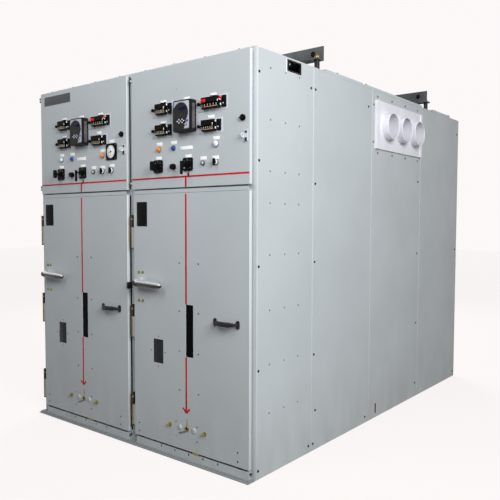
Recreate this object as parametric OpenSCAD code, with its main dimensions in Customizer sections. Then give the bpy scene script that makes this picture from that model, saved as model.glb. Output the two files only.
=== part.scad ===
/* [Enclosure] */
// Width of one cubicle
cubicle_w = 1067; // [1000:1:1150]
// Height of the sheet-metal enclosure above the floor
enclosure_h = 2514; // [2480:1:2600]
// Depth from the front frame to the rear panels
enclosure_d = 3209; // [3100:1:3400]
// Thickness of the folded steel sheet
sheet = 3; // [2:0.5:4]
// Gap between the inner walls of the two cubicles
cubicle_gap = 4; // [2:0.5:8]
// Gap at the seams between side panels
panel_gap = 1; // [0.5:0.5:3]
// Depth of the front side panel
front_panel_d = 605; // [580:1:640]
// Depth of the second side panel
second_panel_d = 805; // [780:1:830]

/* [Front frame] */
// Width of a front post
post_w = 40; // [30:1:48]
// Depth of a front post and of the rails
post_d = 45; // [30:1:60]
// Height of the top rail
top_rail_h = 44; // [30:1:60]
// Height of the middle rail
mid_rail_h = 55; // [50:1:70]
// Gap between the header strip and the control door above it
header_gap = 10; // [5:0.5:14]
// Gap between the header strip and the breaker door below it
header_seam = 2; // [1.5:0.5:5]
// Setback of the header strip behind the door faces
header_set = 1; // [0.5:0.5:8]
// Distance of the header strip's ends from the breaker door's edges
header_in = 8; // [4:1:16]
// Gap between the kick plate and the breaker door above it
kick_gap = 16; // [10:1:22]
// Reach of the kick plate in front of the frame
kick_reach = 28; // [20:1:32]
// Distance of the kick plate's left end from the breaker door's left edge
kick_in = 10; // [0:1:20]
// Width of a notch in the kick plate
notch_w = 12; // [8:1:20]
// Depth of a notch below the kick plate's upper edge
notch_h = 18; // [10:1:24]
// Spacing of the notches in the kick plate
notch_step = 124; // [60:1:130]
// Shift of the notches to the right of the cubicle's middle
notch_shift = 22; // [0:1:30]
// Reach of the base angle in front of the frame
base_leg = 60; // [50:1:80]
// Thickness of the base angle
base_t = 6; // [4:1:10]
// Setback of the sill on the base angle
sill_set = 15; // [10:1:18]
// Height of the sill on the base angle
sill_h = 8; // [5:1:12]

/* [Doors] */
// Height of a control door
control_h = 765; // [740:1:790]
// Depth of a door pan
door_t = 25; // [20:1:30]
// Gap between a closed door and the front frame
door_gap = 5; // [5:1:8]
// Left edge of the control door from the cubicle's left side
control_left = 36; // [34:1:40]
// Left edge of the breaker door from the cubicle's left side
breaker_left = 52; // [48:1:60]
// Margin between a door's right edge and the cubicle's right side
door_right_margin = 19; // [16:1:30]
// Margin between the control door's top and the roof
control_top_margin = 14; // [10:1:30]
// Overlap of the control door on the middle rail
control_overlap = 10; // [8:1:14]
// Overlap of the breaker door on the middle rail
breaker_overlap = 10; // [8:1:14]
// Height of the breaker door's lower edge
breaker_bottom = 70; // [60:1:71]
// Width of the lips folded in at the back of a door
door_lip = 16; // [12:1:22]

/* [Hinges] */
// Distance of the hinge axis from the cubicle's left side
hinge_x = 20; // [18:1:22]
// Distance of the hinge axis in front of the frame
hinge_reach = 22; // [18:1:26]
// Radius of a fixed knuckle
knuckle_r = 8; // [7.5:0.5:10]
// Radius of a door's hinge sleeve
sleeve_r = 7; // [6:0.5:8]
// Radius of a hinge pin
pin_r = 4; // [3:0.5:5]
// Radius of the nut at the lower end of a hinge pin
pin_nut_r = 7.5; // [7:0.5:9]
// Length of the nut at the lower end of a hinge pin
pin_nut_l = 9; // [6:1:12]
// Radial running clearance of the pins and shafts
run_clear = 0.05; // [0.02:0.01:0.1]
// Thickness of a hinge leaf
leaf_t = 5; // [3:0.5:8]
// Distance of a fixed hinge leaf from its knuckle's left side
leaf_in = 2; // [1.5:0.5:3]
// End play between a knuckle and its sleeve
end_play = 0.5; // [0.3:0.1:1]
// Length of a breaker door's fixed knuckle
breaker_knuckle_l = 84; // [60:1:100]
// Length of a breaker door's hinge sleeve
breaker_sleeve_l = 136; // [100:1:150]
// Length of a control door's fixed knuckle
control_knuckle_l = 12; // [10:1:20]
// Length of a control door's hinge sleeve
control_sleeve_l = 12; // [10:1:20]
// Distance of the upper breaker hinge's top below the door's upper edge
upper_hinge_drop = 135; // [100:1:180]
// Height of the lower breaker hinge's top above the door's lower edge
lower_hinge_rise = 280; // [255:1:320]
// Distance of the upper control hinge's top below the door's upper edge
control_hinge_drop = 24; // [15:1:40]
// Height of the lower control hinge's top above the door's lower edge
control_hinge_rise = 60; // [50:1:80]

/* [Windows] */
// Width of the slot window in a breaker door
slot_w = 65; // [40:1:70]
// Height of the slot window
slot_h = 331; // [250:1:350]
// Width of the small window in a breaker door
window_w = 93; // [60:1:100]
// Height of the small window
window_h = 158; // [120:1:170]
// Overlap of a window pane behind the door sheet
pane_lap = 10; // [6:1:14]
// Thickness of a window pane
pane_t = 4; // [3:0.5:6]
// Distance of the slot window's left side from the racking port's centre line
slot_out = 8; // [0:1:14]
// Height of the slot window's lower end above the breaker door's lower edge
slot_rise = 599; // [590:1:620]
// Distance of the small window's left side from the breaker door's left edge
window_in = 187; // [180:1:210]
// Height of the small window's lower end above the breaker door's lower edge
window_rise = 523; // [510:1:540]

/* [Protection relay] */
// Width of the protection relay
relay_w = 153; // [140:1:160]
// Height of the protection relay
relay_h = 193; // [180:1:210]
// Height of the relay's centre above the control door's lower edge
relay_rise = 430; // [420:1:440]
// Thickness of the relay's face plate
relay_face_t = 8; // [4:1:12]
// Setback of the face plate's edges from the case
relay_edge = 4; // [2:0.5:6]
// Width of the arched key panel
key_panel_w = 128; // [116:1:132]
// Height of the arched key panel
key_panel_h = 162; // [150:1:172]
// Distance of the key panel to the left of the relay's centre
key_panel_left = 5; // [2:1:6]
// Width of the slanted cut at the key panel's lower right
slant_w = 37; // [20:1:45]
// Distance of the slanted cut's upper end below the foot of the key panel's arch
slant_drop = 6; // [2:1:30]
// Height of the key panel's surface above the face plate
key_panel_t = 2; // [1:0.5:4]
// Width of the screen
screen_w = 68; // [50:1:80]
// Height of the screen
screen_h = 24; // [18:1:30]
// Height of the screen's centre above the relay's centre
screen_rise = 42; // [36:1:46]
// Distance of the screen's centre to the right of the relay's centre
screen_right = 8; // [0:1:12]
// Depth of the screen's recess
screen_deep = 3; // [2:0.5:5]
// Radius of an arrow key
key_r = 6; // [4:0.5:7]
// Spacing of the arrow keys along their centre line
key_step = 13.5; // [12:0.5:15]
// Distance of the upper and lower arrow keys from the keys' centre line
key_lift = 9.5; // [8:0.5:14]
// Height of the keys above the key panel
key_h = 2; // [1:0.5:4]
// Distance of the first arrow keys' centre to the left of the relay's centre
key_left = 16; // [12:1:22]
// Distance of the keys' centre line below the relay's centre
key_drop = 34; // [28:1:40]
// Length of an enter key
enter_l = 24; // [18:1:28]
// Width of an enter key
enter_w = 11; // [8:1:13]
// Mean distance of the enter keys to the right of the relay's centre
enter_right = 43; // [40:1:48]
// Distance of the enter keys' middle below the relay's centre
enter_drop = 45; // [40:1:50]
// Distance of the enter keys above and below their middle
enter_step = 11.5; // [9:0.5:13]
// Shift of the upper enter key to the right and of the lower one to the left
enter_slant = 4.5; // [2:0.5:6]

/* [Test switches] */
// Height of a test switch
test_h = 66; // [60:1:72]
// Width of the left test switches
test_w_left = 131; // [115:1:140]
// Width of the upper right test switch
test_w_right = 180; // [150:1:190]
// Width of the lower right test switch
test_w_low = 140; // [120:1:150]
// Projection of a relay or test switch in front of the door
case_d = 52; // [44:1:60]
// Width of a test switch's end block
test_end_w = 28; // [20:1:34]
// Depth of a test switch's cover
test_d = 28; // [25:1:34]
// Width of the gap between the end block and the main block
test_slot_w = 12; // [8:1:14]
// Setback of the blade row behind the cover
test_step = 16; // [12:1:20]
// Height of the blade row's upper edge
test_row = 30; // [26:1:34]
// Height of the lip under the blade row
test_lip_h = 9; // [6:1:10]
// Setback of the lip behind the cover
test_lip_set = 5; // [3:1:8]
// Number of blades in a test switch
test_blades = 5; // [3:1:8]
// Width of a blade
blade_w = 6; // [4:0.5:8]
// Height of a blade
blade_h = 16; // [12:1:17]
// Projection of a blade from its row
blade_out = 8; // [5:1:12]
// Radius of a thumb nut
thumb_r = 10; // [8:0.5:12]
// Length of a thumb nut
thumb_l = 8; // [6:1:12]
// Distance of a thumb nut's end from the test switch
thumb_reach = 36; // [24:1:40]
// Drop of the right test switches below the left ones
test_right_drop = 9; // [0:1:14]
// Height of the upper left test switch's centre above the control door's lower edge
test_high_rise = 498; // [485:1:510]
// Height of the lower left test switch's centre above the control door's lower edge
test_low_rise = 365; // [355:1:380]
// Distance of the left test switches' left ends from the instruments' centre line
test_left_out = 265; // [255:1:275]
// Distance of the right test switches' left ends from the instruments' centre line
test_right_out = 140; // [130:1:150]

/* [Lamps and switches] */
// Distance of the instruments' centre line from the control door's right edge
panel_in = 493; // [480:1:505]
// Height of the lamps above the control door's lower edge
lamp_rise = 247; // [235:1:260]
// Height of the row of switches above the control door's lower edge
row_rise = 139; // [125:1:150]
// Distance of the first lamp from the instruments' centre line
lamp_out = 250; // [240:1:260]
// Distance of the selector switch from the instruments' centre line
selector_out = 257; // [250:1:270]
// Distance of the breaker switch to the right of the instruments' centre line
breaker_switch_out = 8; // [0:1:14]
// Distance of the second lamp and the knob below it from the instruments' centre line
knob_out = 118; // [110:1:122]
// Distance of the push button from the instruments' centre line
button_out = 135; // [125:1:145]
// Distance of the third lamp and the lever switch below it from the instruments' centre line
key_out = 239; // [230:1:245]
// Distance of the meter and the lever switch below it from the instruments' centre line
meter_out = 337; // [332:1:342]
// Height of the meter's centre above the control door's lower edge
meter_rise = 268; // [260:1:280]
// Radius of a lamp's bezel
lamp_r = 16; // [13:0.5:20]
// Height of a lamp's bezel
lamp_h = 8; // [5:1:12]
// Radius of a lamp's lens
lens_r = 12; // [8:0.5:12.5]
// Side of the meter's square case
meter_w = 112; // [104:1:118]
// Thickness of the meter's square case
meter_t = 7; // [5:1:14]
// Radius of the meter's round rim
meter_rim_r = 49; // [40:1:51]
// Height of the meter's round rim
meter_rim_h = 5; // [3:1:9]
// Wall of the meter's round rim
meter_rim_w = 4; // [2:0.5:6]
// Side of a rotary switch's plate
switch_plate = 80; // [70:1:90]
// Thickness of a rotary switch's plate
switch_plate_t = 9; // [6:1:14]
// Radius of the collar on a rotary switch's plate
collar_r = 16; // [12:1:20]
// Height of the collar on a rotary switch's plate
collar_l = 20; // [12:1:24]
// Projection of a switch grip in front of the door
grip_reach = 66; // [60:1:80]
// Thickness of the selector switch's grip
grip_t = 18; // [12:1:22]
// Length of the selector switch's grip
selector_l = 60; // [45:1:70]
// Width of the selector switch's grip
selector_w = 26; // [18:1:32]
// Length of the breaker switch's grip
breaker_grip_l = 82; // [60:1:90]
// Width of the breaker switch's grip
breaker_grip_w = 14; // [12:1:24]
// Thickness of the breaker switch's grip
breaker_grip_t = 11; // [9:1:18]
// Radius of a switch shaft
shaft_r = 5; // [4:0.5:6]
// Radius of the knob's skirt
knob_skirt_r = 19; // [18:0.5:22]
// Height of the knob's skirt
knob_skirt_h = 8; // [5:1:12]
// Radius of the knob's head
knob_head_r = 17; // [13:0.5:17.5]
// Projection of the knob's head in front of the door
knob_reach = 24; // [18:1:36]
// Drop of the knob below the row of switches
knob_drop = 9; // [0:1:12]
// Radius of the push button's ring
button_r = 12; // [9:0.5:15]
// Height of the push button's ring
button_h = 9; // [6:1:14]
// Width of the push button's ring
button_rim = 3; // [2:0.5:5]
// Radius of a lever switch's bezel
bezel_ring_r = 15; // [12:0.5:18]
// Height of a lever switch's bezel
bezel_ring_h = 10; // [7:1:14]
// Length of a lever switch's lever
toggle_l = 42; // [34:1:50]
// Width of a lever switch's lever
toggle_w = 14; // [10:1:18]
// Thickness of a lever switch's lever
toggle_t = 10; // [7:1:14]
// Gap between a lever switch's bezel and its lever
toggle_gap = 6; // [5:1:9]

/* [Handles] */
// Distance of the latch knob from the control door's right edge
latch_in = 47; // [42:1:60]
// Height of the latch knob above the control door's lower edge
latch_rise = 379; // [370:1:395]
// Radius of the latch knob
latch_r = 18; // [16:0.5:22]
// Height of the latch knob's skirt
latch_skirt_h = 10; // [8:1:24]
// Radius of the latch knob's cap
latch_cap_r = 12; // [10:0.5:14]
// Height of the latch knob's cap
latch_cap_h = 5; // [4:1:10]
// Width of the latch knob's pointer
pointer_w = 9; // [8:1:12]
// Reach of the latch knob's pointer past its skirt
pointer_reach = 7; // [4:1:9]
// Distance of the hasp from the control door's right edge
hasp_in = 28; // [24:1:32]
// Height of the hasp above the control door's lower edge
hasp_rise = 277; // [265:1:290]
// Width of the hasp's plate
hasp_w = 30; // [24:1:36]
// Height of the hasp's plate
hasp_h = 67; // [50:1:72]
// Thickness of the hasp's eye
eye_t = 5; // [4:0.5:7]
// Radius of the hasp's eye
eye_r = 14; // [11:0.5:17]
// Projection of the hasp's eye in front of the door
eye_reach = 30; // [26:1:36]
// Radius of the hole in the hasp's eye
eye_hole_r = 6; // [4:0.5:8]
// Distance of the lever's pivot from the breaker door's left edge
lever_in = 66; // [60:1:75]
// Height of the lever's pivot above the breaker door's lower edge
lever_rise = 1045; // [1030:1:1060]
// Length of the lever from its pivot
lever_l = 240; // [220:1:275]
// Droop of the lever's arm in degrees
lever_droop = 2; // [0:0.5:6]
// Radius of the lever's boss
lever_boss_r = 26; // [22:1:30]
// Distance of the lever's arm in front of the door
lever_stand = 44; // [38:1:50]
// Radius of the lever's arm at its pivot
lever_root_r = 19; // [16:0.5:22]
// Radius of the lever's arm at its grip
lever_grip_r = 22; // [18:0.5:24]
// Distance of the lever's thickest part from its pivot
lever_swell = 165; // [120:1:180]
// Radius of the lever's arm at its tip
lever_tip_r = 16; // [12:0.5:17]
// Radius of the lever's spindle
spindle_r = 8; // [6:0.5:10]
// Distance of the pull handle's middle from the breaker door's right edge
pull_in = 172; // [165:1:185]
// Height of the pull handle above the breaker door's lower edge
pull_rise = 846; // [835:1:865]
// Distance between a pull handle's feet
pull_span = 178; // [160:1:205]
// Projection of a pull handle
pull_reach = 56; // [50:1:62]
// Radius of a pull handle's bar at its ends
pull_r = 8; // [6:0.5:9]
// Radius of a pull handle's bar at its grip
pull_grip_r = 15; // [12:0.5:17]
// Share of a pull handle's bow that its grip covers
pull_grip_share = 0.5; // [0.3:0.05:0.6]
// Share of a pull handle's bow that the collars beside its grip cover
pull_collar_share = 0.7; // [0.65:0.05:0.8]
// Height of a pull handle's foot
pull_foot_h = 50; // [44:1:64]
// Width of a pull handle's foot
pull_foot_w = 24; // [22:1:32]
// Thickness of a pull handle's foot
pull_foot_t = 6; // [4:0.5:9]
// Gap between a turning boss and the door
boss_gap = 1; // [0.5:0.5:2]

/* [Racking port] */
// Distance of the racking port's centre line to the left of the breaker door's middle
rack_shift = 5; // [0:1:10]
// Height of the racking port above the breaker door's lower edge
rack_rise = 138; // [120:1:145]
// Radius of the round part of the keyhole
rack_hole_r = 17; // [14:0.5:20]
// Width of the keyhole's slot
key_slot_w = 10; // [7:0.5:13]
// Height of the keyhole's slot above its centre
key_slot_h = 58; // [50:1:70]
// Width of the plate behind the keyhole
rack_plate_w = 220; // [190:1:240]
// Height of the plate behind the keyhole
rack_plate_h = 150; // [140:1:160]
// Thickness of the plate behind the keyhole
rack_plate_t = 4; // [3:0.5:6]
// Bore of the racking socket
socket_bore_r = 11; // [9:0.5:13]
// Projection of the racking socket in front of the door
socket_proud = 3; // [2:0.5:6]
// Radial gap round the racking socket
socket_gap = 1; // [0.5:0.5:2]
// Radius of a round cover beside the keyhole
cover_r = 16; // [13:0.5:19]
// Thickness of a round cover
cover_t = 3; // [2:0.5:5]
// Distance of a round cover from the keyhole
cover_out = 62; // [52:1:72]
// Distance of a thumb screw from the keyhole
screw_out = 152; // [140:1:165]
// Radius of a thumb screw's head
screw_r = 10; // [8:0.5:12]
// Radius of a thumb screw's stem
screw_stem_r = 6; // [4:0.5:7]
// Length of a thumb screw's stem
screw_stem_l = 7; // [5:1:10]
// Length of a thumb screw's head
screw_head_l = 11; // [8:1:14]

/* [Bus bushing] */
// Length of the bushing's plate along the side
bushing_l = 827; // [800:1:850]
// Height of the bushing's plate
bushing_h = 363; // [320:1:380]
// Margin between the bushing and the panel seam in front of it
bushing_front = 46.5; // [35:0.5:60]
// Margin between the bushing and the panel seam behind it
bushing_rear = 26.5; // [15:0.5:40]
// Distance of the bushing's centre below the enclosure's top
bushing_drop = 255; // [240:1:275]
// Projection of the plate from the side panel
bushing_proud = 15; // [8:1:25]
// Width of the ribs at the bushing's ends
bushing_rib_w = 28; // [20:1:36]
// Height of the ribs above the bushing's plate
bushing_rib_h = 9; // [5:1:14]
// Overlap of the bushing's flange behind the side panel
bushing_lap = 32; // [20:1:40]
// Thickness of the bushing's flange
bushing_flange_t = 10; // [6:1:14]
// Outer radius of a bushing tube
tube_r = 100; // [80:1:105]
// Wall of a bushing tube
tube_wall = 9; // [6:1:12]
// Projection of a tube from the side panel
tube_reach = 78; // [60:1:120]
// Spacing of the tubes
tube_step = 246; // [230:1:255]
// Length of a tube behind the side panel
tube_inside = 70; // [40:1:90]
// Radius of the fillet at a tube's root
tube_root = 12; // [6:0.5:16]

/* [Wireway] */
// Length of the wireway opening in the front side panel
wireway_l = 150; // [100:1:170]
// Height of the wireway opening
wireway_h = 72; // [50:1:80]
// Distance of the opening's front edge behind the front frame
wireway_y = 303; // [280:1:330]
// Distance of the opening's top below the enclosure's top
wireway_drop = 12; // [8:1:20]
// Width of the trim round the opening
trim_w = 9; // [6:1:14]
// Thickness of the trim
trim_t = 8; // [6:1:14]

/* [Lifting gear] */
// Height of a lifting angle's upright leg
lift_h = 95; // [80:1:120]
// Width of a lifting angle's foot
lift_foot = 75; // [60:1:90]
// Thickness of a lifting angle
lift_t = 10; // [6:1:14]
// Height of a lifting angle's underside above the roof
lift_stand = 63; // [45:1:80]
// Radius of a lifting hole
lift_hole_r = 19; // [14:0.5:22]
// Distance of a lifting hole from the angle's end
lift_hole_in = 79; // [60:1:110]
// Distance of the front lifting angle behind the front frame
lift_front_y = 723; // [715:1:730]
// Distance of the rear lifting angle in front of the enclosure's rear
lift_rear_in = 789; // [770:1:810]
// Radius of a lifting stud
stud_r = 8; // [6:0.5:10]
// Radius of a spacer under a lifting angle
spacer_r = 20; // [16:0.5:22]
// Distance of an end stud from the angle's end
stud_in = 26; // [23:1:45]
// Radius of a nut on a lifting stud
nut_r = 17; // [14:0.5:19]
// Height of a nut on a lifting stud
nut_h = 17; // [10:1:20]
// Reach of a lifting stud above its nut
stud_reach = 11; // [6:1:16]

/* [Roof] */
// Height of a relief flap above the roof
flap_h = 18; // [12:1:26]
// Margin between a relief flap and the cubicle's sides
flap_margin = 6; // [4:1:50]
// Gap between the front lifting angle, the front flap and the middle flap
flap_gap = 40; // [30:1:60]
// Length of the front relief flap
front_flap_l = 510; // [450:1:560]
// Gap between the rear lifting angle and the flaps beside it
flap_rear_gap = 80; // [60:1:100]
// Margin between the rear flap and the enclosure's rear
flap_end_margin = 219; // [180:1:260]

/* [Hidden] */
$fn = 64;

// The two cubicles
LEFT = 0;
RIGHT = 1;
CUBICLES = [LEFT, RIGHT];

// Colours of the finishes
PAINT = [0.70, 0.72, 0.73];
BLACK = [0.08, 0.08, 0.09];
WHITE = [0.90, 0.90, 0.92];
ZINC = [0.62, 0.55, 0.32];
CHROME = [0.80, 0.80, 0.82];

// Small overlap that lets cuts pass through a face
eps = 1;
// Corner radius of moulded cases and plates
corner_r = 10;
// Gap between the bushing's plate and the edges of its cut-out
bushing_fit = 0.5;
// Radial gap between a lifting stud and its hole
stud_clear = 1;

// Panel seams along the depth, measured from the front frame
breaker_d = front_panel_d + second_panel_d;
bus_end_d = breaker_d + bushing_front + bushing_l + bushing_rear;
seams = [0, front_panel_d, breaker_d, bus_end_d, enclosure_d];
roof_z = enclosure_h - sheet;
rear_split_z = enclosure_h / 2;
bushing_at = [breaker_d + bushing_front + bushing_l / 2, enclosure_h - bushing_drop];

// Door planes and edges
door_back = -door_gap;
door_face = -door_gap - door_t;
door_right = cubicle_w - door_right_margin;
control_top = enclosure_h - control_top_margin;
control_bottom = control_top - control_h;
mid_rail_z = control_bottom + control_overlap - mid_rail_h;
breaker_top = mid_rail_z + breaker_overlap;
shelf_z = mid_rail_z + mid_rail_h / 2;
sill_top = base_t + sill_h;

// Hinge axis, and the top of each fixed knuckle
hinge_y = -hinge_reach;
upper_hinge_z = breaker_top - upper_hinge_drop;
lower_hinge_z = breaker_bottom + lower_hinge_rise;
breaker_hinge_z = [upper_hinge_z, (upper_hinge_z + lower_hinge_z) / 2, lower_hinge_z];
control_hinge_z = [control_top - control_hinge_drop, control_bottom + control_hinge_rise];

// Places on the control door: across the cubicle and up from the floor
panel_x = door_right - panel_in;
row_z = control_bottom + row_rise;
lamp_z = control_bottom + lamp_rise;
relay_at = [panel_x, control_bottom + relay_rise];
lamp_x = [panel_x - lamp_out, panel_x - knob_out, panel_x + key_out];
selector_at = [panel_x - selector_out, row_z];
breaker_switch_at = [panel_x + breaker_switch_out, row_z];
knob_at = [panel_x - knob_out, row_z - knob_drop];
button_at = [panel_x + button_out, row_z];
key_at = [panel_x + key_out, row_z];
spare_at = [panel_x + meter_out, row_z];
meter_at = [panel_x + meter_out, control_bottom + meter_rise];
latch_at = [door_right - latch_in, control_bottom + latch_rise];
hasp_at = [door_right - hasp_in, control_bottom + hasp_rise];

// Places on the breaker door: across the cubicle and up from the floor
rack_x = (breaker_left + door_right) / 2 - rack_shift;
slot_at = [rack_x - slot_out, breaker_bottom + slot_rise];
window_at = [breaker_left + window_in, breaker_bottom + window_rise];
lever_at = [breaker_left + lever_in, breaker_bottom + lever_rise];
pull_at = [door_right - pull_in, breaker_bottom + pull_rise];
racking_at = [rack_x, breaker_bottom + rack_rise];

// Front and back edges of the relief flaps, measured from the front frame
lift_rear_y = enclosure_d - lift_rear_in;
front_flap_y = lift_front_y + flap_gap;
flap_ends = [[front_flap_y, front_flap_y + front_flap_l],
    [front_flap_y + front_flap_l + flap_gap, lift_rear_y - flap_rear_gap],
    [lift_rear_y + lift_foot + flap_rear_gap, enclosure_d - flap_end_margin]];

function cubicle_left(i) = (i - 1) * cubicle_w;
function inner_left(i) = i == LEFT ? sheet : cubicle_gap / 2 + sheet;
function inner_right(i) = cubicle_w - inner_left(1 - i);

// Moves children into a cubicle: X from its left side, Y back from the front frame
module in_cubicle(i) {
    translate([cubicle_left(i), -enclosure_d / 2, 0])
        children();
}

// A block between two corners
module slab(low, high) {
    translate(low)
        cube(high - low);
}

// A flat rectangle with round corners, centred
module round_rect(w, h, r) {
    square([w - 2 * r, h], center = true);
    square([w, h - 2 * r], center = true);
    for (sx = [-1, 1], sy = [-1, 1])
        translate([sx * (w / 2 - r), sy * (h / 2 - r)])
            circle(r);
}

// A flat bar with two round ends, centred on its length
module round_bar(l, w) {
    square([l - w, w], center = true);
    for (s = [-1, 1])
        translate([s * (l - w) / 2, 0])
            circle(w / 2);
}

// Section of a channel folded from sheet, open along its far side
module channel(w, d) {
    difference() {
        square([w, d]);
        translate([sheet, sheet])
            square([w - 2 * sheet, d]);
    }
}

// Stands children up on a door's face: X across, Y up, growing forward from the door
module on_door(at, out = 0) {
    translate([at[0], door_face - out, at[1]])
        rotate([90, 0, 0])
            children();
}

module floor_pans() {
    color(PAINT)
        for (i = CUBICLES)
            in_cubicle(i)
                slab([inner_left(i), 0, 0], [inner_right(i), enclosure_d - sheet, sheet]);
}

// The base angle along the front, with the sill that carries the kick plates
module base_angle() {
    color(PAINT)
        translate([-cubicle_w, -enclosure_d / 2, 0]) {
            slab([0, -base_leg, 0], [2 * cubicle_w, 0, base_t]);
            slab([0, sill_set - base_leg, base_t], [2 * cubicle_w, 0, sill_top]);
        }
}

module front_posts() {
    color(PAINT)
        for (i = CUBICLES, x = [inner_left(i), inner_right(i) - post_w])
            in_cubicle(i)
                translate([x, 0, sheet])
                    linear_extrude(roof_z - sheet)
                        channel(post_w, post_d);
}

// A rail between the posts, its channel open to the back
module front_rail(i, z, h) {
    translate([inner_left(i) + post_w, 0, z + h])
        rotate([0, 90, 0])
            linear_extrude(inner_right(i) - inner_left(i) - 2 * post_w)
                channel(h, post_d);
}

// The angle that closes the gap between the two doors of a cubicle
module header_strip() {
    front = door_face + header_set;
    low = breaker_top + header_seam;
    left = breaker_left + header_in;
    right = door_right - header_in;
    slab([left, front, low], [right, front + sheet, control_bottom - header_gap]);
    slab([left, front, low], [right, 0, low + sheet]);
}

module front_rails() {
    color(PAINT)
        for (i = CUBICLES)
            in_cubicle(i) {
                front_rail(i, mid_rail_z, mid_rail_h);
                front_rail(i, roof_z - top_rail_h, top_rail_h);
                header_strip();
            }
}

// Channels on the sill, open to the back, with a row of notches in their upper edges
module kick_plates() {
    left = breaker_left + kick_in;
    top = breaker_bottom - kick_gap;
    notch_left = (cubicle_w - notch_w) / 2 + notch_shift;
    color(PAINT)
        for (i = CUBICLES)
            in_cubicle(i)
                difference() {
                    translate([left, -kick_reach, top])
                        rotate([0, 90, 0])
                            linear_extrude(door_right - left)
                                channel(top - sill_top, kick_reach);
                    for (k = [-2:2])
                        translate([notch_left + k * notch_step, -kick_reach - eps, top - notch_h])
                            cube([notch_w, sheet + 2 * eps, notch_h + eps]);
                }
}

// One flat panel of a side wall, between two seams
module side_panel(x, k) {
    front = k == 0 ? 0 : panel_gap / 2;
    back = k == 3 ? 0 : panel_gap / 2;
    slab([x, seams[k] + front, 0], [x + sheet, seams[k + 1] - back, roof_z]);
}

module right_front_panel() {
    top = enclosure_h - wireway_drop;
    color(PAINT)
        in_cubicle(RIGHT)
            difference() {
                side_panel(cubicle_w - sheet, 0);
                slab([cubicle_w - sheet - eps, wireway_y, top - wireway_h],
                    [cubicle_w + eps, wireway_y + wireway_l, top]);
            }
}

module right_bus_panel() {
    cut_l = bushing_l + 2 * bushing_fit;
    cut_h = bushing_h + 2 * bushing_fit;
    color(PAINT)
        in_cubicle(RIGHT)
            difference() {
                side_panel(cubicle_w - sheet, 2);
                translate([cubicle_w - sheet / 2, bushing_at[0], bushing_at[1]])
                    cube([sheet + 2 * eps, cut_l, cut_h], center = true);
            }
}

module right_side_panels() {
    color(PAINT)
        in_cubicle(RIGHT)
            for (k = [1, 3])
                side_panel(cubicle_w - sheet, k);
}

module left_side_panels() {
    color(PAINT)
        in_cubicle(LEFT)
            for (k = [0:3])
                side_panel(0, k);
}

module centre_barrier() {
    color(PAINT)
        for (s = [-1, 1])
            translate([s * (cubicle_gap + sheet) / 2, 0, roof_z / 2])
                cube([sheet, enclosure_d, roof_z], center = true);
}

module roof_plates() {
    color(PAINT)
        for (i = CUBICLES)
            in_cubicle(i)
                slab([inner_left(i) - sheet, 0, roof_z], [inner_right(i) + sheet, enclosure_d, enclosure_h]);
}

// Pressure relief flaps: shallow pans turned down on the roof
module relief_flaps() {
    right = cubicle_w - flap_margin;
    top = enclosure_h + flap_h;
    color(PAINT)
        for (i = CUBICLES, f = flap_ends)
            in_cubicle(i)
                difference() {
                    slab([flap_margin, f[0], enclosure_h], [right, f[1], top]);
                    slab([flap_margin + sheet, f[0] + sheet, enclosure_h - eps],
                        [right - sheet, f[1] - sheet, top - sheet]);
                }
}

module rear_panels() {
    color(PAINT)
        for (i = CUBICLES, z = [[0, rear_split_z - panel_gap / 2], [rear_split_z + panel_gap / 2, roof_z]])
            in_cubicle(i)
                slab([inner_left(i), enclosure_d - sheet, z[0]], [inner_right(i), enclosure_d, z[1]]);
}

module compartment_shelves() {
    color(PAINT)
        for (i = CUBICLES)
            in_cubicle(i)
                slab([inner_left(i), post_d, shelf_z], [inner_right(i), breaker_d, shelf_z + sheet]);
}

module compartment_backs() {
    color(PAINT)
        for (i = CUBICLES)
            in_cubicle(i) {
                slab([inner_left(i), front_panel_d, shelf_z + sheet],
                    [inner_right(i), front_panel_d + sheet, roof_z]);
                slab([inner_left(i), breaker_d, sheet], [inner_right(i), breaker_d + sheet, shelf_z + sheet]);
            }
}

// Profile of one bushing tube: radius across, height out from the panel
module tube_profile() {
    rim = tube_wall / 2;
    difference() {
        union() {
            translate([tube_r - tube_wall, -sheet - tube_inside])
                square([tube_wall, tube_reach + sheet + tube_inside - rim]);
            translate([tube_r - rim, tube_reach - rim])
                circle(rim);
            translate([tube_r - eps, bushing_proud - eps])
                square([tube_root + eps, tube_root + eps]);
        }
        translate([tube_r + tube_root, bushing_proud + tube_root])
            circle(tube_root);
    }
}

// The bushing's plate with its hidden flange and the ribs at its ends
module bushing_plate() {
    translate([0, 0, -sheet])
        linear_extrude(bushing_proud + sheet)
            square([bushing_l, bushing_h], center = true);
    translate([0, 0, -sheet - bushing_flange_t])
        linear_extrude(bushing_flange_t)
            square([bushing_l + 2 * bushing_lap, bushing_h + 2 * bushing_lap], center = true);
    for (s = [-1, 1])
        translate([s * (bushing_l - bushing_rib_w) / 2, 0, 0])
            linear_extrude(bushing_proud + bushing_rib_h)
                square([bushing_rib_w, bushing_h], center = true);
}

// The moulded bushing: one plate with three open tubes that grow out of it
module bus_bushing() {
    through = bushing_flange_t + sheet + bushing_proud + 2 * eps;
    color(WHITE)
        in_cubicle(RIGHT)
            translate([cubicle_w, bushing_at[0], bushing_at[1]])
                rotate([90, 0, 90]) {
                    difference() {
                        bushing_plate();
                        for (k = [-1:1])
                            translate([k * tube_step, 0, -sheet - bushing_flange_t - eps])
                                cylinder(r = tube_r - tube_wall / 2, h = through);
                    }
                    for (k = [-1:1])
                        translate([k * tube_step, 0, 0])
                            rotate_extrude()
                                tube_profile();
                }
}

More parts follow.
